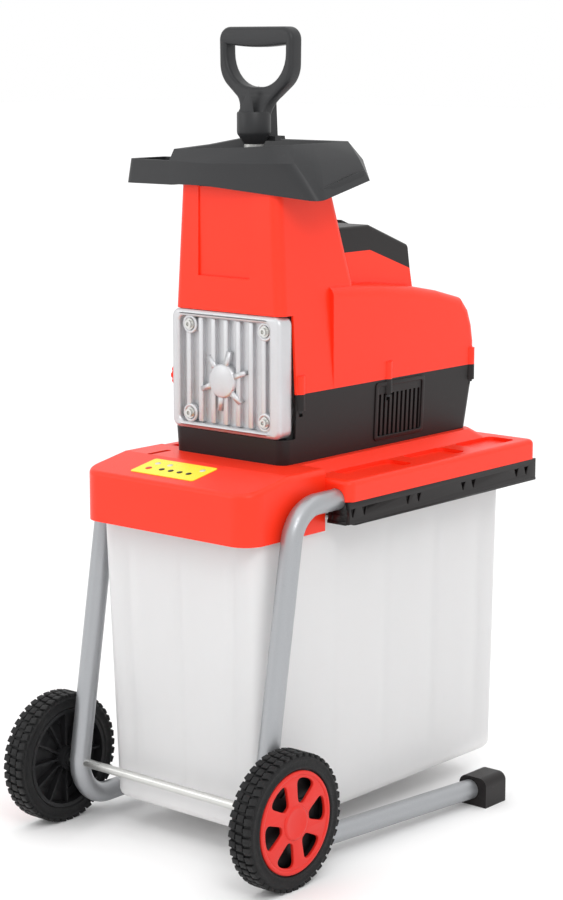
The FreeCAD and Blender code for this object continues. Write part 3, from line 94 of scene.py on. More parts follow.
def add_floor():
    mesh = bpy.data.meshes.new("floor")
    far = 30.0
    corners = [(-far, -far, 0), (far, -far, 0), (far, far, 0), (-far, far, 0)]
    mesh.from_pydata(corners, [], [(0, 1, 2, 3)])
    floor = bpy.data.objects.new("floor", mesh)
    bpy.context.scene.collection.objects.link(floor)
    floor.data.materials.append(floor_finish())


# ---------------------------------------------------------------- finishes

class Finish:
    """One Principled material whose patterns are read from the piece's own coordinates."""

    def __init__(self, name, **sockets):
        self.material = bpy.data.materials.new(name)
        self.material.use_nodes = True
        self.tree = self.material.node_tree
        self.shader = self.tree.nodes["Principled BSDF"]
        self.place = self.node("ShaderNodeTexCoord").outputs["Object"]
        for socket, value in sockets.items():
            self.shader.inputs[socket.replace("_", " ")].default_value = value

    def node(self, kind, **values):
        made = self.tree.nodes.new(kind)
        for key, value in values.items():
            if hasattr(made, key):
                setattr(made, key, value)
            else:
                made.inputs[key.replace("_", " ")].default_value = value
        return made

    def link(self, source, target):
        self.tree.links.new(source, target)

    def stretched(self, scale):
        mapping = self.node("ShaderNodeMapping")
        mapping.inputs["Scale"].default_value = scale
        self.link(self.place, mapping.inputs["Vector"])
        return mapping.outputs["Vector"]

    def noise(self, scale, detail=4.0, roughness=0.55, stretch=None):
        made = self.node("ShaderNodeTexNoise", Scale=scale, Detail=detail, Roughness=roughness)
        self.link(self.stretched(stretch) if stretch else self.place, made.inputs["Vector"])
        return made.outputs["Fac"]

    def ramp(self, source, low, high, at=(0.35, 0.65)):
        """A number that runs from low to high as the source runs between the two stops."""
        made = self.node("ShaderNodeMapRange")
        made.clamp = True
        for socket, value in zip(("From Min", "From Max", "To Min", "To Max"), (*at, low, high)):
            made.inputs[socket].default_value = value
        self.link(source, made.inputs["Value"])
        return made.outputs["Result"]

    def blend(self, factor, first, second):
        made = self.node("ShaderNodeMix", data_type="RGBA")
        for socket, colour in ((6, first), (7, second)):
            if hasattr(colour, "links"):
                self.link(colour, made.inputs[socket])
            else:
                made.inputs[socket].default_value = (*colour, 1)
        self.link(factor, made.inputs[0])
        return made.outputs[2]

    def colour(self, source):
        self.link(source, self.shader.inputs["Base Color"])

    def roughness(self, source):
        self.link(source, self.shader.inputs["Roughness"])

    def bump(self, *layers):
        """Bump layers, each (height, strength, distance in metres)."""
        normal = None
        for height, strength, distance in layers:
            made = self.node("ShaderNodeBump", Strength=strength, Distance=distance)
            self.link(height, made.inputs["Height"])
            if normal:
                self.link(normal, made.inputs["Normal"])
            normal = made.outputs["Normal"]
        self.link(normal, self.shader.inputs["Normal"])


def shade(colour, share):
    return tuple(min(1.0, c * share) for c in colour)


def floor_finish():
    finish = Finish("floor", Roughness=0.9)
    finish.colour(finish.blend(finish.noise(3.0), (0.89, 0.89, 0.89), (0.92, 0.92, 0.92)))
    return finish.material


def moulded_plastic(name, colour, rough, depth=0.25, wear=0.02):
    """Injection-moulded plastic: fine spark texture, faint flow clouds, handling scuffs."""
    finish = Finish(name, Specular_IOR_Level=0.31)
    clouds = finish.noise(5.0, 3.0)
    grains = finish.noise(2600.0, 2.0)
    scuffs = finish.ramp(finish.noise(38.0, 8.0, 0.7, (1, 1, 3)), 0.0, 1.0, (0.60, 0.74))
    base = finish.blend(clouds, shade(colour, 0.94), shade(colour, 1.05))
    worn = tuple(min(1.0, c + wear * 3) for c in colour)
    scuffed = finish.ramp(scuffs, 0.0, min(1.0, wear * 9), (0, 1))
    finish.colour(finish.blend(scuffed, base, worn))
    finish.roughness(finish.ramp(grains, rough - 0.05, rough + 0.07, (0.3, 0.7)))
    finish.bump((grains, depth, 0.00015), (finish.noise(60.0, 2.0), 0.05, 0.0006))
    return finish.material


def coated_tube(name, colour):
    """Metallic powder coat: sparkle, slight orange peel and a few rubbed marks."""
    finish = Finish(name, Metallic=0.72, Coat_Weight=0.15, Coat_Roughness=0.25)
    sparkle = finish.noise(4200.0, 1.0)
    peel = finish.noise(420.0, 2.0)
    marks = finish.ramp(finish.noise(26.0, 9.0, 0.75), 0.0, 0.5, (0.63, 0.78))
    base = finish.blend(sparkle, shade(colour, 0.86), shade(colour, 1.14))
    finish.colour(finish.blend(marks, base, shade(colour, 0.72)))
    finish.roughness(finish.ramp(peel, 0.34, 0.46))
    finish.bump((peel, 0.18, 0.0003), (sparkle, 0.06, 0.0001))
    return finish.material


def milky_plastic(name, colour):
    """Translucent natural polypropylene: light passes into it, with faint flow streaks."""
    finish = Finish(name, Subsurface_Weight=0.55, Subsurface_Scale=0.02, Specular_IOR_Level=0.45)
    finish.shader.inputs["Subsurface Radius"].default_value = (1.0, 0.95, 0.92)
    streaks = finish.noise(7.0, 4.0, 0.6, (1.0, 1.0, 0.22))
    specks = finish.ramp(finish.noise(70.0, 6.0, 0.7), 0.0, 0.5, (0.64, 0.75))
    base = finish.blend(streaks, shade(colour, 0.965), shade(colour, 1.02))
    finish.colour(finish.blend(specks, base, shade(colour, 0.93)))
    finish.roughness(finish.ramp(streaks, 0.40, 0.52))
    finish.bump((finish.noise(1400.0, 2.0), 0.15, 0.0002), (finish.noise(16.0, 3.0), 0.10, 0.002))
    return finish.material


def tyre_tread(name, colour):
    """Hard black tread: sheen of the mould, dusty hollows and small nicks."""
    finish = Finish(name, Specular_IOR_Level=0.30)
    dust = finish.ramp(finish.noise(24.0, 7.0, 0.7), 0.0, 0.35, (0.52, 0.75))
    nicks = finish.noise(340.0, 5.0, 0.7)
    finish.colour(finish.blend(dust, colour, (0.026, 0.025, 0.023)))
    finish.roughness(finish.ramp(nicks, 0.50, 0.72))
    finish.bump((nicks, 0.30, 0.0004), (finish.noise(2200.0, 2.0), 0.2, 0.00015))
    return finish.material


def cast_metal(name, colour):
    """Blasted and lacquered aluminium casting: pitted skin with a soft sheen."""
    finish = Finish(name, Metallic=0.75)
    pits = finish.noise(900.0, 5.0, 0.7)
    clouds = finish.noise(14.0, 5.0, 0.6)
    stains = finish.ramp(finish.noise(30.0, 8.0, 0.7), 0.0, 0.4, (0.58, 0.78))
    base = finish.blend(clouds, shade(colour, 0.90), shade(colour, 1.06))
    finish.colour(finish.blend(stains, base, shade(colour, 0.74)))
    finish.roughness(finish.ramp(pits, 0.34, 0.54))
    finish.bump((pits, 0.32, 0.0004), (finish.noise(140.0, 3.0), 0.12, 0.0006))
    return finish.material


def turned_metal(name, colour, rough=0.26):
    """Plated or ground steel with fine tool lines and slight staining."""
    finish = Finish(name, Metallic=1.0)
    lines = finish.noise(260.0, 4.0, 0.6, (1, 1, 30))
    stains = finish.ramp(finish.noise(45.0, 6.0, 0.7), 0.0, 0.45, (0.55, 0.78))
    base = finish.blend(lines, shade(colour, 0.88), shade(colour, 1.08))
    finish.colour(finish.blend(stains, base, shade(colour, 0.62)))
    finish.roughness(finish.ramp(lines, rough, rough + 0.18))
    finish.bump((lines, 0.15, 0.0002))
    return finish.material


def laminated_steel(name, colour):
    """Stacked sheets seen on edge, varnished."""
    finish = Finish(name, Metallic=0.6, Coat_Weight=0.3)
    wave = finish.node("ShaderNodeTexWave", wave_type="BANDS", bands_direction="Y", Scale=320.0)
    finish.link(finish.place, wave.inputs["Vector"])
    finish.colour(finish.blend(wave.outputs["Fac"], shade(colour, 0.7), shade(colour, 1.2)))
    finish.roughness(finish.ramp(finish.noise(90.0), 0.3, 0.5))
    finish.bump((wave.outputs["Fac"], 0.3, 0.0003))
    return finish.material


def wound_wire(name, colour):
    """Enamelled copper wire in tight rings, varnished."""
    finish = Finish(name, Metallic=0.8, Coat_Weight=0.6, Coat_Roughness=0.2)
    wave = finish.node("ShaderNodeTexWave", wave_type="RINGS", rings_direction="Y", Scale=260.0,
                       Distortion=2.5, Detail=3.0)
    finish.link(finish.place, wave.inputs["Vector"])
    finish.colour(finish.blend(wave.outputs["Fac"], shade(colour, 0.55), shade(colour, 1.2)))
    finish.roughness(finish.ramp(wave.outputs["Fac"], 0.3, 0.45))
    finish.bump((wave.outputs["Fac"], 0.6, 0.0008))
    return finish.material


FINISHES = {
    "red_plastic": moulded_plastic("red_plastic", (0.93, 0.031, 0.008), 0.36, depth=0.12, wear=0.006),
    "charcoal_plastic": moulded_plastic("charcoal_plastic", (0.024, 0.0245, 0.026), 0.42),
    "black_plastic": moulded_plastic("black_plastic", (0.0080, 0.0060, 0.0060), 0.40),
    "silver_paint": coated_tube("silver_paint", (0.37, 0.38, 0.395)),
    "bin_plastic": milky_plastic("bin_plastic", (0.765, 0.752, 0.750)),
    "tyre_black": tyre_tread("tyre_black", (0.0065, 0.0065, 0.0070)),
    "wheel_black": moulded_plastic("wheel_black", (0.012, 0.012, 0.013), 0.40),
    "trim_red": moulded_plastic("trim_red", (0.66, 0.022, 0.014), 0.34, depth=0.12),
    "cast_aluminium": cast_metal("cast_aluminium", (0.60, 0.605, 0.62)),
    "bright_steel": turned_metal("bright_steel", (0.66, 0.66, 0.64)),
    "tool_steel": turned_metal("tool_steel", (0.42, 0.42, 0.43), 0.30),
    "gear_steel": turned_metal("gear_steel", (0.48, 0.46, 0.42), 0.22),
    "lamination_steel": laminated_steel("lamination_steel", (0.28, 0.29, 0.31)),
    "copper_winding": wound_wire("copper_winding", (0.70, 0.30, 0.12)),
    "capacitor_white": moulded_plastic("capacitor_white", (0.68, 0.68, 0.64), 0.38),
    "switch_grey": moulded_plastic("switch_grey", (0.16, 0.16, 0.17), 0.45),
    "fan_black": moulded_plastic("fan_black", (0.025, 0.025, 0.027), 0.45),
    "button_green": moulded_plastic("button_green", (0.03, 0.36, 0.08), 0.28, depth=0.06),
    "button_red": moulded_plastic("button_red", (0.70, 0.02, 0.015), 0.28, depth=0.06),
    "plate_yellow": moulded_plastic("plate_yellow", (0.95, 0.80, 0.03), 0.30, depth=0.03),
}


def coat(mesh, material):
    mesh.materials.clear()
    mesh.materials.append(material)


def dress_frame():
    """Every carried-over node gets the finish of its own slot, but the casing screws are blackened."""
    for part in frame["record"]["subparts"]:
        coat(frame["nodes"][part["node"]].data, FINISHES[part["material_slot"]])
    blackened = turned_metal("blackened_screws", (0.05, 0.05, 0.052), 0.35)
    coat(frame["nodes"]["housing_screws"].data, blackened)


# ---------------------------------------------------------------- mesh helpers, in millimetres

MM = 0.001
SIDES = ((1, "right"), (-1, "left"))


def mesh_of(name, parts):
    """One smooth mesh from (points, faces) parts given in millimetres."""
    points, faces = [], []
    for part_points, part_faces in parts:
        start = len(points)
        points += [Vector(p) * MM for p in part_points]
        faces += [[start + i for i in face] for face in part_faces]
    mesh = bpy.data.meshes.new(name)
    mesh.from_pydata(points, [], faces)
    solid = bmesh.new()
    solid.from_mesh(mesh)
    bmesh.ops.remove_doubles(solid, verts=solid.verts, dist=0.00001)
    bmesh.ops.recalc_face_normals(solid, faces=solid.faces)
    solid.to_mesh(mesh)
    solid.free()
    for face in mesh.polygons:
        face.use_smooth = True
    return mesh


def finished(name, parts, finish, body, stands_for=None):
    """A finished piece: it rides on its body, takes its slot and may stand for a node."""
    mesh = mesh_of(name, parts)
    piece = bpy.data.objects.new(name, mesh)
    bpy.context.scene.collection.objects.link(piece)
    coat(mesh, FINISHES[finish])
    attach(piece, body)
    if stands_for:
        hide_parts(stands_for)
    return piece


def plain_parts(shape):
    """The points, in millimetres, and the faces of a working object, which is then thrown away."""
    bpy.context.view_layer.update()
    mesh = bpy.data.meshes.new_from_object(shape.evaluated_get(bpy.context.evaluated_depsgraph_get()))
    bpy.data.objects.remove(shape)
    points = [tuple(v.co / MM) for v in mesh.vertices]
    faces = [list(p.vertices) for p in mesh.polygons]
    bpy.data.meshes.remove(mesh)
    return points, faces


def skin(rings, closed=False):
    """Faces between rings of equally many points; the first and last ring are capped, or joined."""
    count = len(rings[0])
    points = [p for ring in rings for p in ring]
    faces = []
    for r in range(len(rings) if closed else len(rings) - 1):
        low, high = r * count, (r + 1) % len(rings) * count
        for i in range(count):
            following = (i + 1) % count
            faces.append([low + i, low + following, high + following, high + i])
    if not closed:
        faces += [list(range(count)), [len(points) - count + i for i in range(count)]]
    return points, faces


def turned(profile, centre, axis, steps):
    """A lathe shape: profile is (radius, place along the axis), and its two ends are capped."""
    cx, cy, cz = centre
    rings = []
    for radius, along in profile:
        ring = []
        for i in range(steps):
            a = 2 * pi * i / steps
            c, s = radius * cos(a), radius * sin(a)
            ring.append({"z": (cx + c, cy + s, cz + along), "y": (cx + c, cy + along, cz + s),
                         "x": (cx + along, cy + c, cz + s)}[axis])
        rings.append(ring)
    return skin(rings)


def turned_ring(profile, centre, steps):
    """A closed ring about X through the profile's (radius, place along the axis) points."""
    cx, cy, cz = centre
    rings = []
    for i in range(steps):
        a = 2 * pi * i / steps
        rings.append([(cx + along, cy + r * cos(a), cz + r * sin(a)) for r, along in profile])
    return skin(rings, closed=True)


def rounded_corners(corners, steps=6):
    """A closed outline whose corners, given as (a, b, radius), are turned into arcs."""
    points, count = [], len(corners)
    for i, (a, b, radius) in enumerate(corners):
        here = Vector((a, b))
        before = (Vector(corners[i - 1][:2]) - here).normalized()
        after = (Vector(corners[(i + 1) % count][:2]) - here).normalized()
        half = before.angle(after) / 2
        if radius <= 0 or half > pi / 2 - 0.02:
            points.append(here)
            continue
        centre = here + (before + after).normalized() * radius / sin(half)
        first = here + before * radius * cos(half) / sin(half) - centre
        last = here + after * radius * cos(half) / sin(half) - centre
        turn = first.angle_signed(last)
        for k in range(steps + 1):
            a_k = -turn * k / steps
            points.append(centre + Vector((first.x * cos(a_k) - first.y * sin(a_k),
                                           first.x * sin(a_k) + first.y * cos(a_k))))
    return [(p.x, p.y) for p in points]


def plate_of(outlines, thickness, edge, place, steps):
    """A plate with holes, its rims rounded by edge in steps; place maps its plane to the frame."""
    curve = bpy.data.curves.new("plate", "CURVE")
    curve.dimensions, curve.fill_mode = "2D", "BOTH"
    for points in outlines:
        spline = curve.splines.new("POLY")
        spline.points.add(len(points) - 1)
        for point, (a, b) in zip(spline.points, points):
            point.co = (a * MM, b * MM, 0, 1)
        spline.use_cyclic_u = True
    curve.offset = -edge * MM
    curve.bevel_depth, curve.bevel_resolution = edge * MM, steps
    curve.extrude = (thickness / 2 - edge) * MM
    flat = bpy.data.objects.new("plate", curve)
    bpy.context.scene.collection.objects.link(flat)
    points, faces = plain_parts(flat)
    return [tuple(place @ Vector(p)) for p in points], faces


def facing_front(y):
    """Maps a flat outline (x, z) to the upright plane at y."""
    return Matrix.Translation((0, y, 0)) @ Matrix.Rotation(pi / 2, 4, "X")


def facing_side(x, y=0.0, z=0.0):
    """Maps a flat outline (y, z) to the upright plane at x, and moves it by y and z."""
    return Matrix(((0, 0, 1, x), (1, 0, 0, y), (0, 1, 0, z), (0, 0, 0, 1)))


def oblong(x0, x1, z0, z1, radius):
    return rounded_corners([(x0, z0, radius), (x1, z0, radius), (x1, z1, radius), (x0, z1, radius)])


def bar(x0, x1, y0, y1, z0, z1, taper=0.0):
    """A six-sided bar; taper narrows its top on every side."""
    low = [(x0, y0, z0), (x1, y0, z0), (x1, y1, z0), (x0, y1, z0)]
    high = [(x0 + taper, y0 + taper, z1), (x1 - taper, y0 + taper, z1),
            (x1 - taper, y1 - taper, z1), (x0 + taper, y1 - taper, z1)]
    return skin([low, high])


def soften(piece, width, segments, angle=28):
    """Rounds a piece's edges that turn by more than angle, in degrees, with a bevel."""
    bevel = piece.modifiers.new("soft_edges", "BEVEL")
    bevel.width, bevel.segments = width * MM, segments
    bevel.limit_method, bevel.angle_limit = "ANGLE", radians(angle)
    bevel.harden_normals = True


def box_mm(node):
    low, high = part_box(node)
    return [c / MM for c in low], [c / MM for c in high]


def centre_mm(node):
    return [(low + high) / 2 for low, high in zip(*box_mm(node))]


def mirrored(side, near, far):
    """The low and high X of a stretch that runs from near to far on the given side."""
    return sorted((side * near, side * far))


# ---------------------------------------------------------------- repeated shapes, by geometry nodes

class Tree:
    """A geometry node tree with named inputs that ends in Realize Instances and Set Material."""

    def __init__(self, name, **inputs):
        self.tree = bpy.data.node_groups.new(name, "GeometryNodeTree")
        self.tree.interface.new_socket("Geometry", in_out="OUTPUT", socket_type="NodeSocketGeometry")
        for label, value in inputs.items():
            kind = {int: "NodeSocketInt", float: "NodeSocketFloat", tuple: "NodeSocketVector"}[type(value)]
            self.tree.interface.new_socket(label, in_out="INPUT", socket_type=kind).default_value = value
        self.tree.interface.new_socket("Finish", in_out="INPUT", socket_type="NodeSocketMaterial")
        self.given = self.tree.nodes.new("NodeGroupInput")

    def node(self, kind, **values):
        made = self.tree.nodes.new(kind)
        for key, value in values.items():
            if hasattr(made, key):
                setattr(made, key, value)
            else:
                self.feed(made.inputs[key.replace("_", " ")], value)
        return made

    def feed(self, socket, value):
        if hasattr(value, "links"):
            self.tree.links.new(value, socket)
        elif isinstance(value, str):
            self.tree.links.new(self.given.outputs[value], socket)
        else:
            socket.default_value = value

    def vector(self, x=0.0, y=0.0, z=0.0):
        made = self.node("ShaderNodeCombineXYZ")
        for socket, value in zip(made.inputs, (x, y, z)):
            self.feed(socket, value)
        return made.outputs["Vector"]

    def end(self, instances):
        real = self.node("GeometryNodeRealizeInstances", Geometry=instances)
        painted = self.node("GeometryNodeSetMaterial", Geometry=real.outputs["Geometry"], Material="Finish")
        out = self.tree.nodes.new("NodeGroupOutput")
        self.tree.links.new(painted.outputs["Geometry"], out.inputs["Geometry"])
        return self.tree


def row_tree():
    """Equal blocks in a straight row."""
    tree = Tree("row_of_blocks", Count=5, Start=(0.0, 0.0, 0.0), Pitch=(0.01, 0.0, 0.0),
                Size=(0.01, 0.01, 0.01))
    line = tree.node("GeometryNodeMeshLine", Count="Count", Start_Location="Start", Offset="Pitch")
    block = tree.node("GeometryNodeMeshCube", Size="Size")
    placed = tree.node("GeometryNodeInstanceOnPoints", Points=line.outputs["Mesh"],
                       Instance=block.outputs["Mesh"])
    return tree.end(placed.outputs["Instances"])


def ring_tree():
    """Equal blocks round a circle about X, each turned with the circle, and skewed by Twist."""
    tree = Tree("ring_of_blocks", Count=12, Radius=0.05, Along=0.0, Phase=0.0, Twist=0.0,
                Size=(0.01, 0.01, 0.01), Centre=(0.0, 0.0, 0.0))
    dots = tree.node("GeometryNodePoints", Count="Count")
    number = tree.node("GeometryNodeInputIndex").outputs["Index"]
    share = tree.node("ShaderNodeMath", operation="DIVIDE")
    tree.feed(share.inputs[0], number)
    tree.feed(share.inputs[1], "Count")
    angle = tree.node("ShaderNodeMath", operation="MULTIPLY_ADD")
    tree.feed(angle.inputs[0], share.outputs["Value"])
    angle.inputs[1].default_value = 2 * pi
    tree.feed(angle.inputs[2], "Phase")
    lift = tree.vector("Along", 0.0, "Radius")
    turn = tree.vector(angle.outputs["Value"], 0.0, 0.0)
    around = tree.node("ShaderNodeVectorRotate", rotation_type="EULER_XYZ", Vector=lift, Rotation=turn)
    middle = tree.node("ShaderNodeVectorMath", operation="ADD")
    tree.feed(middle.inputs[0], around.outputs["Vector"])
    tree.feed(middle.inputs[1], "Centre")
    moved = tree.node("GeometryNodeSetPosition", Geometry=dots.outputs["Geometry"],
                      Position=middle.outputs["Vector"])
    block = tree.node("GeometryNodeMeshCube", Size="Size")
    twisted = tree.node("GeometryNodeTransform", Geometry=block.outputs["Mesh"])
    tree.feed(twisted.inputs["Rotation"], tree.vector(0.0, 0.0, "Twist"))
    placed = tree.node("GeometryNodeInstanceOnPoints", Points=moved.outputs["Geometry"],
                       Instance=twisted.outputs["Geometry"])
    tree.feed(placed.inputs["Rotation"], turn)
    return tree.end(placed.outputs["Instances"])


ROW, RING = row_tree(), ring_tree()


def grown(tree, finish, soft, **values):
    """The plain parts that a tree gives with these inputs, with edges softened by soft millimetres."""
    mould = bpy.data.objects.new("mould", bpy.data.meshes.new("mould"))
    bpy.context.scene.collection.objects.link(mould)
    modifier = mould.modifiers.new("grow", "NODES")
    modifier.node_group = tree
    for item in tree.interface.items_tree:
        if item.item_type != "SOCKET" or item.in_out != "INPUT":
            continue
        if item.name == "Finish":
            modifier[item.identifier] = FINISHES[finish]
        elif item.name in values:
            modifier[item.identifier] = values[item.name]
    soften(mould, soft, 2)
    return plain_parts(mould)


def metres(*values):
    return tuple(v * MM for v in values)


# ---------------------------------------------------------------- hopper and pusher

def eased(ring, corner, reach):
    """The ring with one corner turned into a soft bend; reach is its share of both sides."""
    here = Vector(ring[corner])
    start = here.lerp(Vector(ring[corner - 1]), reach)
    end = here.lerp(Vector(ring[(corner + 1) % len(ring)]), reach)
    bend = [start.lerp(here, s / 6).lerp(here.lerp(end, s / 6), s / 6) for s in range(7)]
    return [*ring[:corner], *(tuple(p) for p in bend), *ring[corner + 1:]]


THROAT_GAP = 1.5    # round the pusher's paddle
THROAT_WALL = 3
THROAT_MIDDLE_Y = -55


def drawn_in(ring, share, lift):
    """The ring shrunk to a share of its size about the throat's middle, and raised by lift."""
    return [(x * share, THROAT_MIDDLE_Y + (y - THROAT_MIDDLE_Y) * share, z + lift) for x, y, z in ring]


def hopper():
    """Faceted funnel: bands that meet at a crease, the throat inside, a tray wing on the left."""
    paddle_low, paddle_high = box_mm("pusher_paddle")
    rim = [(-92, -120, 921), (10, -121, 925), (102, -119, 931), (101, 8, 932), (96, 14, 932),
           (-88, 14, 932), (-92, -50, 925)]
    crease = [(-92, -130, 905.5), (-16, -140, 905), (128, -126, 908), (124, 2, 911), (112, 26, 908),
              (-96, 26, 908), (-95, -50, 906)]
    edge = [(-92, -130, 875), (-22, -140, 876), (150, -109, 860), (150, -7, 883), (118, 33, 880),
            (-100, 33, 878), (-96, -50, 875)]
    x0, x1 = paddle_low[0] - THROAT_GAP, paddle_high[0] + THROAT_GAP
    y0, y1 = paddle_low[1] - THROAT_GAP, paddle_high[1] + THROAT_GAP
    throat = [(x0, y0, 872), (0, y0, 872), (x1, y0, 872), (x1, y1 - 10, 872), (x1, y1, 872),
              (x0, y1, 872), (x0, -60, 872)]
    front_right = 2
    rim, crease = eased(rim, front_right, 0.42), eased(crease, front_right, 0.36)
    edge, throat = eased(edge, front_right, 0.12), eased(throat, front_right, 0.3)
    outside = [(x + (THROAT_WALL if x > 0 else -THROAT_WALL),
                y + (THROAT_WALL if y > -60 else -THROAT_WALL), z) for x, y, z in throat]
    rings = [drawn_in(edge, 0.955, 14), drawn_in(edge, 0.955, 0), edge, crease, rim,
             drawn_in(rim, 0.955, -1), [(x, y, 893) for x, y, _ in throat], throat, outside]
    funnel = skin(rings, closed=True)

    wing_low = eased([(-183, -120, 873), (-90, -130, 874), (-90, -50, 874), (-183, -50, 873)], 0, 0.14)
    wing_top = eased([(-175, -121, 906), (-90, -130, 906), (-90, -50, 906), (-175, -50, 906)], 0, 0.14)
    tray_top = eased([(-171, -117, 906), (-90, -126, 906), (-90, -54, 906), (-171, -54, 906)], 0, 0.12)
    tray_floor = eased([(-174, -115, 884), (-90, -122, 886), (-90, -56, 886), (-174, -56, 884)], 0, 0.12)
    under = [(x + 4, y + (4 if y < -60 else -4), z) for x, y, z in wing_low]
    wing = skin([[(x, y, 882) for x, y, _ in under], under, wing_low, wing_top, tray_top, tray_floor])

    catch = bar(-34, -14, 15, 22, 908, 936, 3)
    shell = finished("hopper_shell", [funnel, wing, catch], "charcoal_plastic", "machine", "hopper")
    soften(shell, 2.2, 3)


GRIP_SHIFT = 13.0    # how far the grip stands behind the collar's axis
NECK_LENGTH = 30     # the stretch of neck that leans back from the collar to the grip


def pusher_handle():
    """D-grip with a round-cornered opening, a pinched neck, and a collar that narrows downwards."""
    top, y = box_mm("pusher_handle")[1][2], centre_mm("pusher_shaft")[1]
    outer = rounded_corners([(-64, top, 17), (64, top, 17), (63, top - 66, 38), (21, top - 100, 30),
                             (21, top - 118, 0), (-21, top - 118, 0), (-21, top - 100, 30),
                             (-63, top - 66, 38)], 9)
    bow = [(51 - 102 * i / 12, top - 23 - 3.5 * sin(pi * i / 12)) for i in range(13)]
    cup = rounded_corners([(-51, top - 22, 0), (-50, top - 78, 44), (50, top - 78, 44),
                           (51, top - 22, 0)], 10)
    opening = [p for p in cup if p[1] < top - 24] + bow
    flat, faces = plate_of([outer, opening], 23, 5.5, facing_front(y), 4)
    foot = top - 118
    bent = [(x, depth + GRIP_SHIFT * min(1, max(0, (z - foot) / NECK_LENGTH)), z) for x, depth, z in flat]
    collar = turned([(13.6, -152), (14.4, -150), (22, -139), (22.6, -136), (22.6, -112), (21.6, -110),
                     (17, -109.5)], (0, y, top), "z", 56)
    gussets = []
    for side in (-1, 1):
        tip, waist, base = y + side * 10, y + side * 13, y + side * 16
        gussets.append(skin([[(0, tip, top - 76), (-1, tip, top - 80), (1, tip, top - 80)],
                             [(0, waist, top - 96), (-9, waist, top - 100), (9, waist, top - 100)],
                             [(0, y + side * 19.5, top - 110), (-14, base, top - 111),
                              (14, base, top - 111)]]))
    fin = bar(-10, 10, y + 6, y + 37, top - 146, top - 92, 1.5)
    hook = bar(8, 25, y + 14, y + 26, top - 148, top - 142, 1.5)
    parts = [(bent, faces), collar, fin, hook, *gussets]
    soften(finished("pusher_grip", parts, "charcoal_plastic", "pusher", "pusher_handle"), 0.8, 2, 40)


# ---------------------------------------------------------------- cutter cover

COVER_SCREWS_X, COVER_SCREWS_Z = (-66, 66), (569.5, 689.5)
RIB_COUNT = 7


def cutter_cover():
    """Cast cover: a raised border, upright ribs, screw wells, and a boss with webs over the drum shaft."""
    (x0, y0, z0), (x1, y1, z1) = box_mm("cutter_cover")
    boss_x, _, boss_z = centre_mm("output_gear")    # it turns on the drum's shaft
    border = plate_of([oblong(x0, x1, z0, z1, 12), oblong(x0 + 13, x1 - 20, z0 + 9, z1 - 10, 8)],
                      y1 - y0 - 0.4, 5.5, facing_front((y0 + y1) / 2), 5)
    back = plate_of([oblong(x0 + 4, x1 - 4, z0 + 4, z1 - 4, 8)], 4, 0.6, facing_front(y0 + 13.4), 1)
    pitch = (x1 - x0 - 33) / 7.2
    first_rib = metres(x0 + 13 + pitch * 0.62, y0 + 9.5, (z0 + z1) / 2)
    ribs = grown(ROW, "cast_aluminium", 1.6, Count=RIB_COUNT, Start=first_rib, Pitch=metres(pitch, 0, 0),
                 Size=metres(8.2, 10, z1 - z0 - 20))
    boss = turned([(24, 12), (23, 3), (21.5, 1.2), (20, 0.4), (0.1, 0.4)], (boss_x, y0, boss_z), "y", 44)
    corners = ((17, -4.2, 1.6), (17, 4.2, 1.6), (41, 2.8, 3.4), (41, -2.8, 3.4))
    webs = []
    for angle in (20, 75, 130, 200, 262, 318):
        c, s = cos(radians(angle)), sin(radians(angle))
        ring = [(boss_x + c * r - s * w, y0 + depth, boss_z + s * r + c * w) for r, w, depth in corners]
        webs.append(skin([ring, [(x, y0 + 12, z) for x, _, z in ring]]))
    well = [(12.5, 12), (12.5, 4.6), (11.6, 3.8), (8.6, 3.8), (8.2, 8.6), (0.1, 8.6)]
    wells = [turned(well, (x, y0, z), "y", 30) for x in COVER_SCREWS_X for z in COVER_SCREWS_Z]
    parts = [border, back, ribs, boss, *webs, *wells]
    finished("cover_casting", parts, "cast_aluminium", "machine", "cutter_cover")


# ---------------------------------------------------------------- collection bin

BIN_MOUTH, BIN_FOOT = (142, -218, 314), (133, -205, 316)    # half width, front and rear
BIN_WALL = 3.0
SIDE_STEPS, CORNER_STEPS = 36, 8


def fluted(x, y, half, y0, y1, depth):
    """A point of the bin's wall, drawn in by shallow upright flutes along the sides and the ends."""
    along = (y - y0) / (y1 - y0)
    if abs(abs(x) - half) < 1:
        return x - depth * (1 if x > 0 else -1) * sin(pi * 5 * along) ** 20, y
    if abs(y - y0) < 1 or abs(y - y1) < 1:
        across = (x + half) / (2 * half)
        return x, y + depth * (1 if y < 0 else -1) * sin(pi * 3 * across) ** 20
    return x, y


def bin_ring(share, z, inset, radius, depth):
    """One level ring of the bin; share runs from 0 at the foot to 1 at the mouth."""
    half, y0, y1 = (foot + (mouth - foot) * share for foot, mouth in zip(BIN_FOOT, BIN_MOUTH))
    half, y0, y1 = half - inset, y0 + inset, y1 - inset
    radius = max(4, radius - inset)
    sides = [(-half, y0), (half, y0), (half, y1), (-half, y1)]
    points = []
    for (xa, ya), (xb, yb) in zip(sides, sides[1:] + sides[:1]):
        reach = Vector((xb - xa, yb - ya))
        unit = reach.normalized()
        start, run = Vector((xa, ya)) + unit * radius, reach.length - 2 * radius
        points += [start + unit * run * i / SIDE_STEPS for i in range(SIDE_STEPS + 1)]
        centre = start + unit * run + Vector((-unit.y, unit.x)) * radius
        out = Vector((unit.y, -unit.x)) * radius
        for i in range(1, CORNER_STEPS):
            a = pi / 2 * i / CORNER_STEPS
            points.append(centre + Vector((out.x * cos(a) - out.y * sin(a),
                                           out.x * sin(a) + out.y * cos(a))))
    return [(*fluted(p.x, p.y, half, y0, y1, depth), z) for p in points]


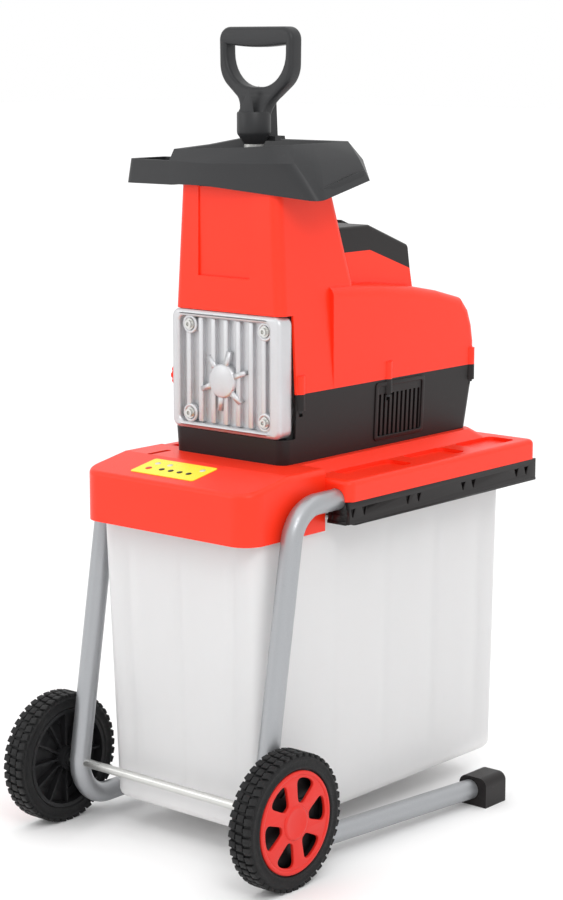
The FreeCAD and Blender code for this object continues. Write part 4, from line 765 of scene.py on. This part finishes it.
def collection_bin():
    """Milky tub: drafted walls with shallow flutes, a rounded foot, a stepped rim, runners and a grip."""
    (_, _, z0), (x1, _, rim_z) = box_mm("collection_bin")
    top = rim_z - 3.5
    foot_bend = ((0, 11), (0.8, 7.5), (3, 4), (6.5, 1.4), (12, 0))    # rise and how far it is drawn in
    rings = [bin_ring(rise / (top - z0), z0 + rise, inset, 17 + inset, 0) for rise, inset in foot_bend]
    heights = [z0 + 22, z0 + 45, z0 + 110, z0 + 200, z0 + 290, top - 55, top - 32, top - 12]
    depths = [0, 2.0, 2.4, 2.4, 2.2, 1.8, 0, 0]
    rings += [bin_ring((z - z0) / (top - z0), z, 0, 18, d) for z, d in zip(heights, depths)]
    rings += [bin_ring(1, top, 0, 20, 0), bin_ring(1, top, -2, 22, 0), bin_ring(1, rim_z, -2, 22, 0),
              bin_ring(1, rim_z, BIN_WALL, 20, 0)]
    rings += [bin_ring((z - z0) / (top - z0), z, BIN_WALL, 18, d)
              for z, d in zip(heights[::-1], depths[::-1])]
    rings += [bin_ring(0, z0 + BIN_WALL, 11, 18, 0)]
    tub = skin(rings)
    runners = [bar(*mirrored(side, 141, x1 - 0.1), -84, 305, top, rim_z) for side in (-1, 1)]
    grip_y0, grip_y1, grip_z0, grip_z1, grip_half = 309, 328, 392.5, 422.5, 55
    grip = [bar(-grip_half, grip_half, grip_y1 - BIN_WALL, grip_y1, grip_z0, grip_z1),
            bar(-grip_half, grip_half, grip_y0, grip_y1, grip_z1 - BIN_WALL, grip_z1),
            bar(-grip_half, BIN_WALL - grip_half, grip_y0, grip_y1, grip_z0, grip_z1),
            bar(grip_half - BIN_WALL, grip_half, grip_y0, grip_y1, grip_z0, grip_z1)]
    parts = [tub, *runners, *grip]
    soften(finished("bin_tub", parts, "bin_plastic", "bin", "collection_bin"), 1.0, 2, 40)


# ---------------------------------------------------------------- guide rails

def guide_rails():
    """Rail covers with a stepped face and pairs of V pockets, and the rail's groove behind them."""
    for side, name in SIDES:
        (x0, y0, z0), (x1, y1, z1) = box_mm("guide_rail_" + name)
        outer, inner = max(abs(x0), abs(x1)), min(abs(x0), abs(x1))
        face = [(y0, z0 + 4), (y0 + 10, z0), (y1, z0), (y1, z1), (y0, z1)]
        pockets = []
        for y in (-76, 41, 166, 294):
            for middle in (y - 12, y + 12):
                pockets.append([(middle - 5, z1 - 9), (middle + 5, z1 - 9), (middle + 1, z0 + 11),
                                (middle - 1, z0 + 11)])
        skirt = plate_of([face] + pockets, 4, 0.7, facing_side(side * (outer - 2.2)), 2)
        ledge = bar(*mirrored(side, outer - 3, outer), y0 + 12, y1, z0, z0 + 3.5)
        shelf = bar(*mirrored(side, inner + 6.6, outer - 3), y0 + 1, y1 - 1, z0 + 11, z0 + 14)
        backing = bar(*mirrored(side, outer - 8, outer - 4), y0 + 2, y1 - 2, z0 + 1, z1 - 1)
        floor = bar(*mirrored(side, inner, outer - 8), y0 + 1, y1 - 1, z0, z0 + 4.4)
        upright = bar(*mirrored(side, inner + 6.6, inner + 9), y0 + 1, y1 - 1, z0, z1 - 0.2)
        nose = bar(*mirrored(side, inner + 1, outer - 3), y0 + 1, y0 + 9, z0 + 2, z1 - 0.5, 1.5)
        parts = [skirt, ledge, shelf, backing, floor, upright, nose]
        finished("rail_cover_" + name, parts, "black_plastic", "machine", "guide_rail_" + name)


# ---------------------------------------------------------------- wheels

LUG_COUNT = 44
STAGGER = pi / 110    # the turn from one row of blocks to the next


def tyres():
    """Tyres with three staggered rows of small blocks on a crowned tread, and smooth side walls."""
    for side, name in SIDES:
        (x0, _, z0), (x1, _, z1) = box_mm("tyre_" + name)
        centre = centre_mm("tyre_" + name)
        radius, half = (z1 - z0) / 2, (x1 - x0) / 2
        base, bore = radius - 3.6, 69.2
        near = [(bore, half - 1), (bore + 1.5, half), (bore + 3.5, half), (bore + 4.5, half - 1.2),
                (base - 6, half - 1.0), (base - 4, half), (base - 2, half - 0.8), (base, half - 3.5)]
        profile = [(r, -along) for r, along in near] + [(base + 0.6, 0)] + near[::-1]
        carcass = turned_ring(profile, centre, 120)
        lugs = []
        for row in (-1, 0, 1):
            lugs.append(grown(RING, "tyre_black", 0.7, Count=LUG_COUNT, Radius=(radius - 2.7) * MM,
                              Phase=row * STAGGER, Along=row * half * 0.64 * MM, Twist=0.16 * row,
                              Size=metres(half * 0.56, 9.0, 5.2), Centre=metres(*centre)))
        finished("tread_" + name, [carcass, *lugs], "tyre_black", "wheel_" + name, "tyre_" + name)


def trim_window(middle, turn, inner, outer):
    """A point on the outline of one rounded wheel window, in the plane of the wheel."""
    def squared(share):
        return (abs(share) ** 0.55) * (1 if share > 0 else -1)

    radius = (inner + outer) / 2 + (outer - inner) / 2 * squared(cos(turn))
    angle = radians(middle + (13 + 7.5 * (radius - inner) / (outer - inner)) * squared(sin(turn)))
    return radius * cos(angle), radius * sin(angle)


WINDOW_COUNT, WINDOW_FIRST = 6, 8    # the first one's middle, in degrees
HUB_RADIUS = 26.5                    # where the windows start


def wheel_trims():
    """Red covers: six rounded windows in a thick disc, a lip round the rim and a dished hub."""
    for side, name in SIDES:
        (x0, _, z0), (x1, _, z1) = box_mm("wheel_trim_" + name)
        _, y, z = centre_mm("wheel_trim_" + name)
        outer, rim = (x1 if side > 0 else x0), (z1 - z0) / 2
        windows = []
        for number in range(WINDOW_COUNT):
            middle = WINDOW_FIRST + 360 / WINDOW_COUNT * number
            windows.append([trim_window(middle, 2 * pi * i / 36, HUB_RADIUS, rim - 9) for i in range(36)])
        disc = [((rim - 1) * cos(pi * i / 48), (rim - 1) * sin(pi * i / 48)) for i in range(96)]
        plate = plate_of([disc, *windows], 5.4, 1.4, facing_side(outer - side * 4.4, y, z), 3)
        lip_profile = ((rim - 6, -4), (rim - 6, -2), (rim - 4.5, -0.7), (rim - 1.5, -0.5), (rim, -2),
                       (rim, -6))
        lip = turned_ring([(r, side * along) for r, along in lip_profile], (outer, y, z), 96)
        hub_profile = ((23, -3), (22.5, -1.2), (20.5, 0), (18.5, 0), (15, -1), (8, -1.6), (0.1, -1.7))
        hub = turned([(r, side * along) for r, along in hub_profile], (outer, y, z), "x", 48)
        finished("trim_cover_" + name, [plate, lip, hub], "trim_red", "wheel_" + name, "wheel_trim_" + name)


def wheel_webs():
    """A dished black web inside each wheel, behind the spokes."""
    profile = [(9, -6), (24, -5), (52, 0), (64, 1), (64, 3), (52, 2.2), (24, -2.5), (9, -3.5)]
    for side, name in SIDES:
        web = turned_ring([(r, side * along) for r, along in profile], centre_mm("tyre_" + name), 72)
        finished("wheel_web_" + name, [web], "wheel_black", "wheel_" + name)


# ---------------------------------------------------------------- surface details

def on_surface(node, start, way):
    """Where a straight look from start along way meets a node, in millimetres."""
    hit, place, _, _ = frame["nodes"][node].ray_cast(Vector(start) * MM, Vector(way))
    return place / MM if hit else Vector(start)


SLOTS_Y = (71, 181)     # the stretch of wall that the frame spans, with the air slots inside it
PLAIN_WALL_Y = 62       # just in front of the frame, where the wall has no slots


def louvre_frames():
    """A low raised frame round the air slots, laid on the sloped sides of the lower casing."""
    (_, _, z0), (_, _, z1) = box_mm("lower_housing")
    y0, y1 = SLOTS_Y
    low_z, high_z, border = z0 + 8, z1 - 8, 6
    outlines = [oblong(y0, y1, low_z, high_z, 6),
                oblong(y0 + border, y1 - border, low_z + border, high_z - border, 4)]
    for side, name in SIDES:
        flat, faces = plate_of(outlines, 3.2, 0.8, facing_side(0), 2)
        low, high = (on_surface("lower_housing", (side * 300, PLAIN_WALL_Y, z), (-side, 0, 0))
                     for z in (low_z, high_z))
        slope = (high.x - low.x) / (high.z - low.z)
        points = [(low.x + slope * (z - low.z) + side * 0.2 + x, y, z) for x, y, z in flat]
        finished("louvre_frame_" + name, [(points, faces)], "black_plastic", "machine")


LABEL_SPOTS = (         # (x, y, radius) of each
    ("button_red", ((-58, -210, 4.5),)),
    ("black_plastic", ((-36, -208, 4), (-20, -208, 4), (-4, -208, 4), (12, -208, 4))),
    ("capacitor_white", ((-58, -192, 4), (-36, -192, 4), (22, -192, 4))))


def label_marks():
    """Plain coloured spots, 0.3 mm thick, on the yellow plate."""
    above = box_mm("info_plate")[1][2] + 10
    for finish, spots in LABEL_SPOTS:
        discs = []
        for x, y, radius in spots:
            rim = [(x + radius * cos(pi * i / 10), y + radius * sin(pi * i / 10), above) for i in range(20)]
            low = [on_surface("info_plate", p, (0, 0, -1)) for p in rim]
            discs.append(skin([low, [p + Vector((0, 0, 0.3)) for p in low]]))
        finished("label_spots_" + finish, discs, finish, "machine")


# ---------------------------------------------------------------- build

set_camera()
set_studio()
add_floor()
dress_frame()
hopper()
pusher_handle()
cutter_cover()
collection_bin()
guide_rails()
tyres()
wheel_trims()
wheel_webs()
louvre_frames()
label_marks()
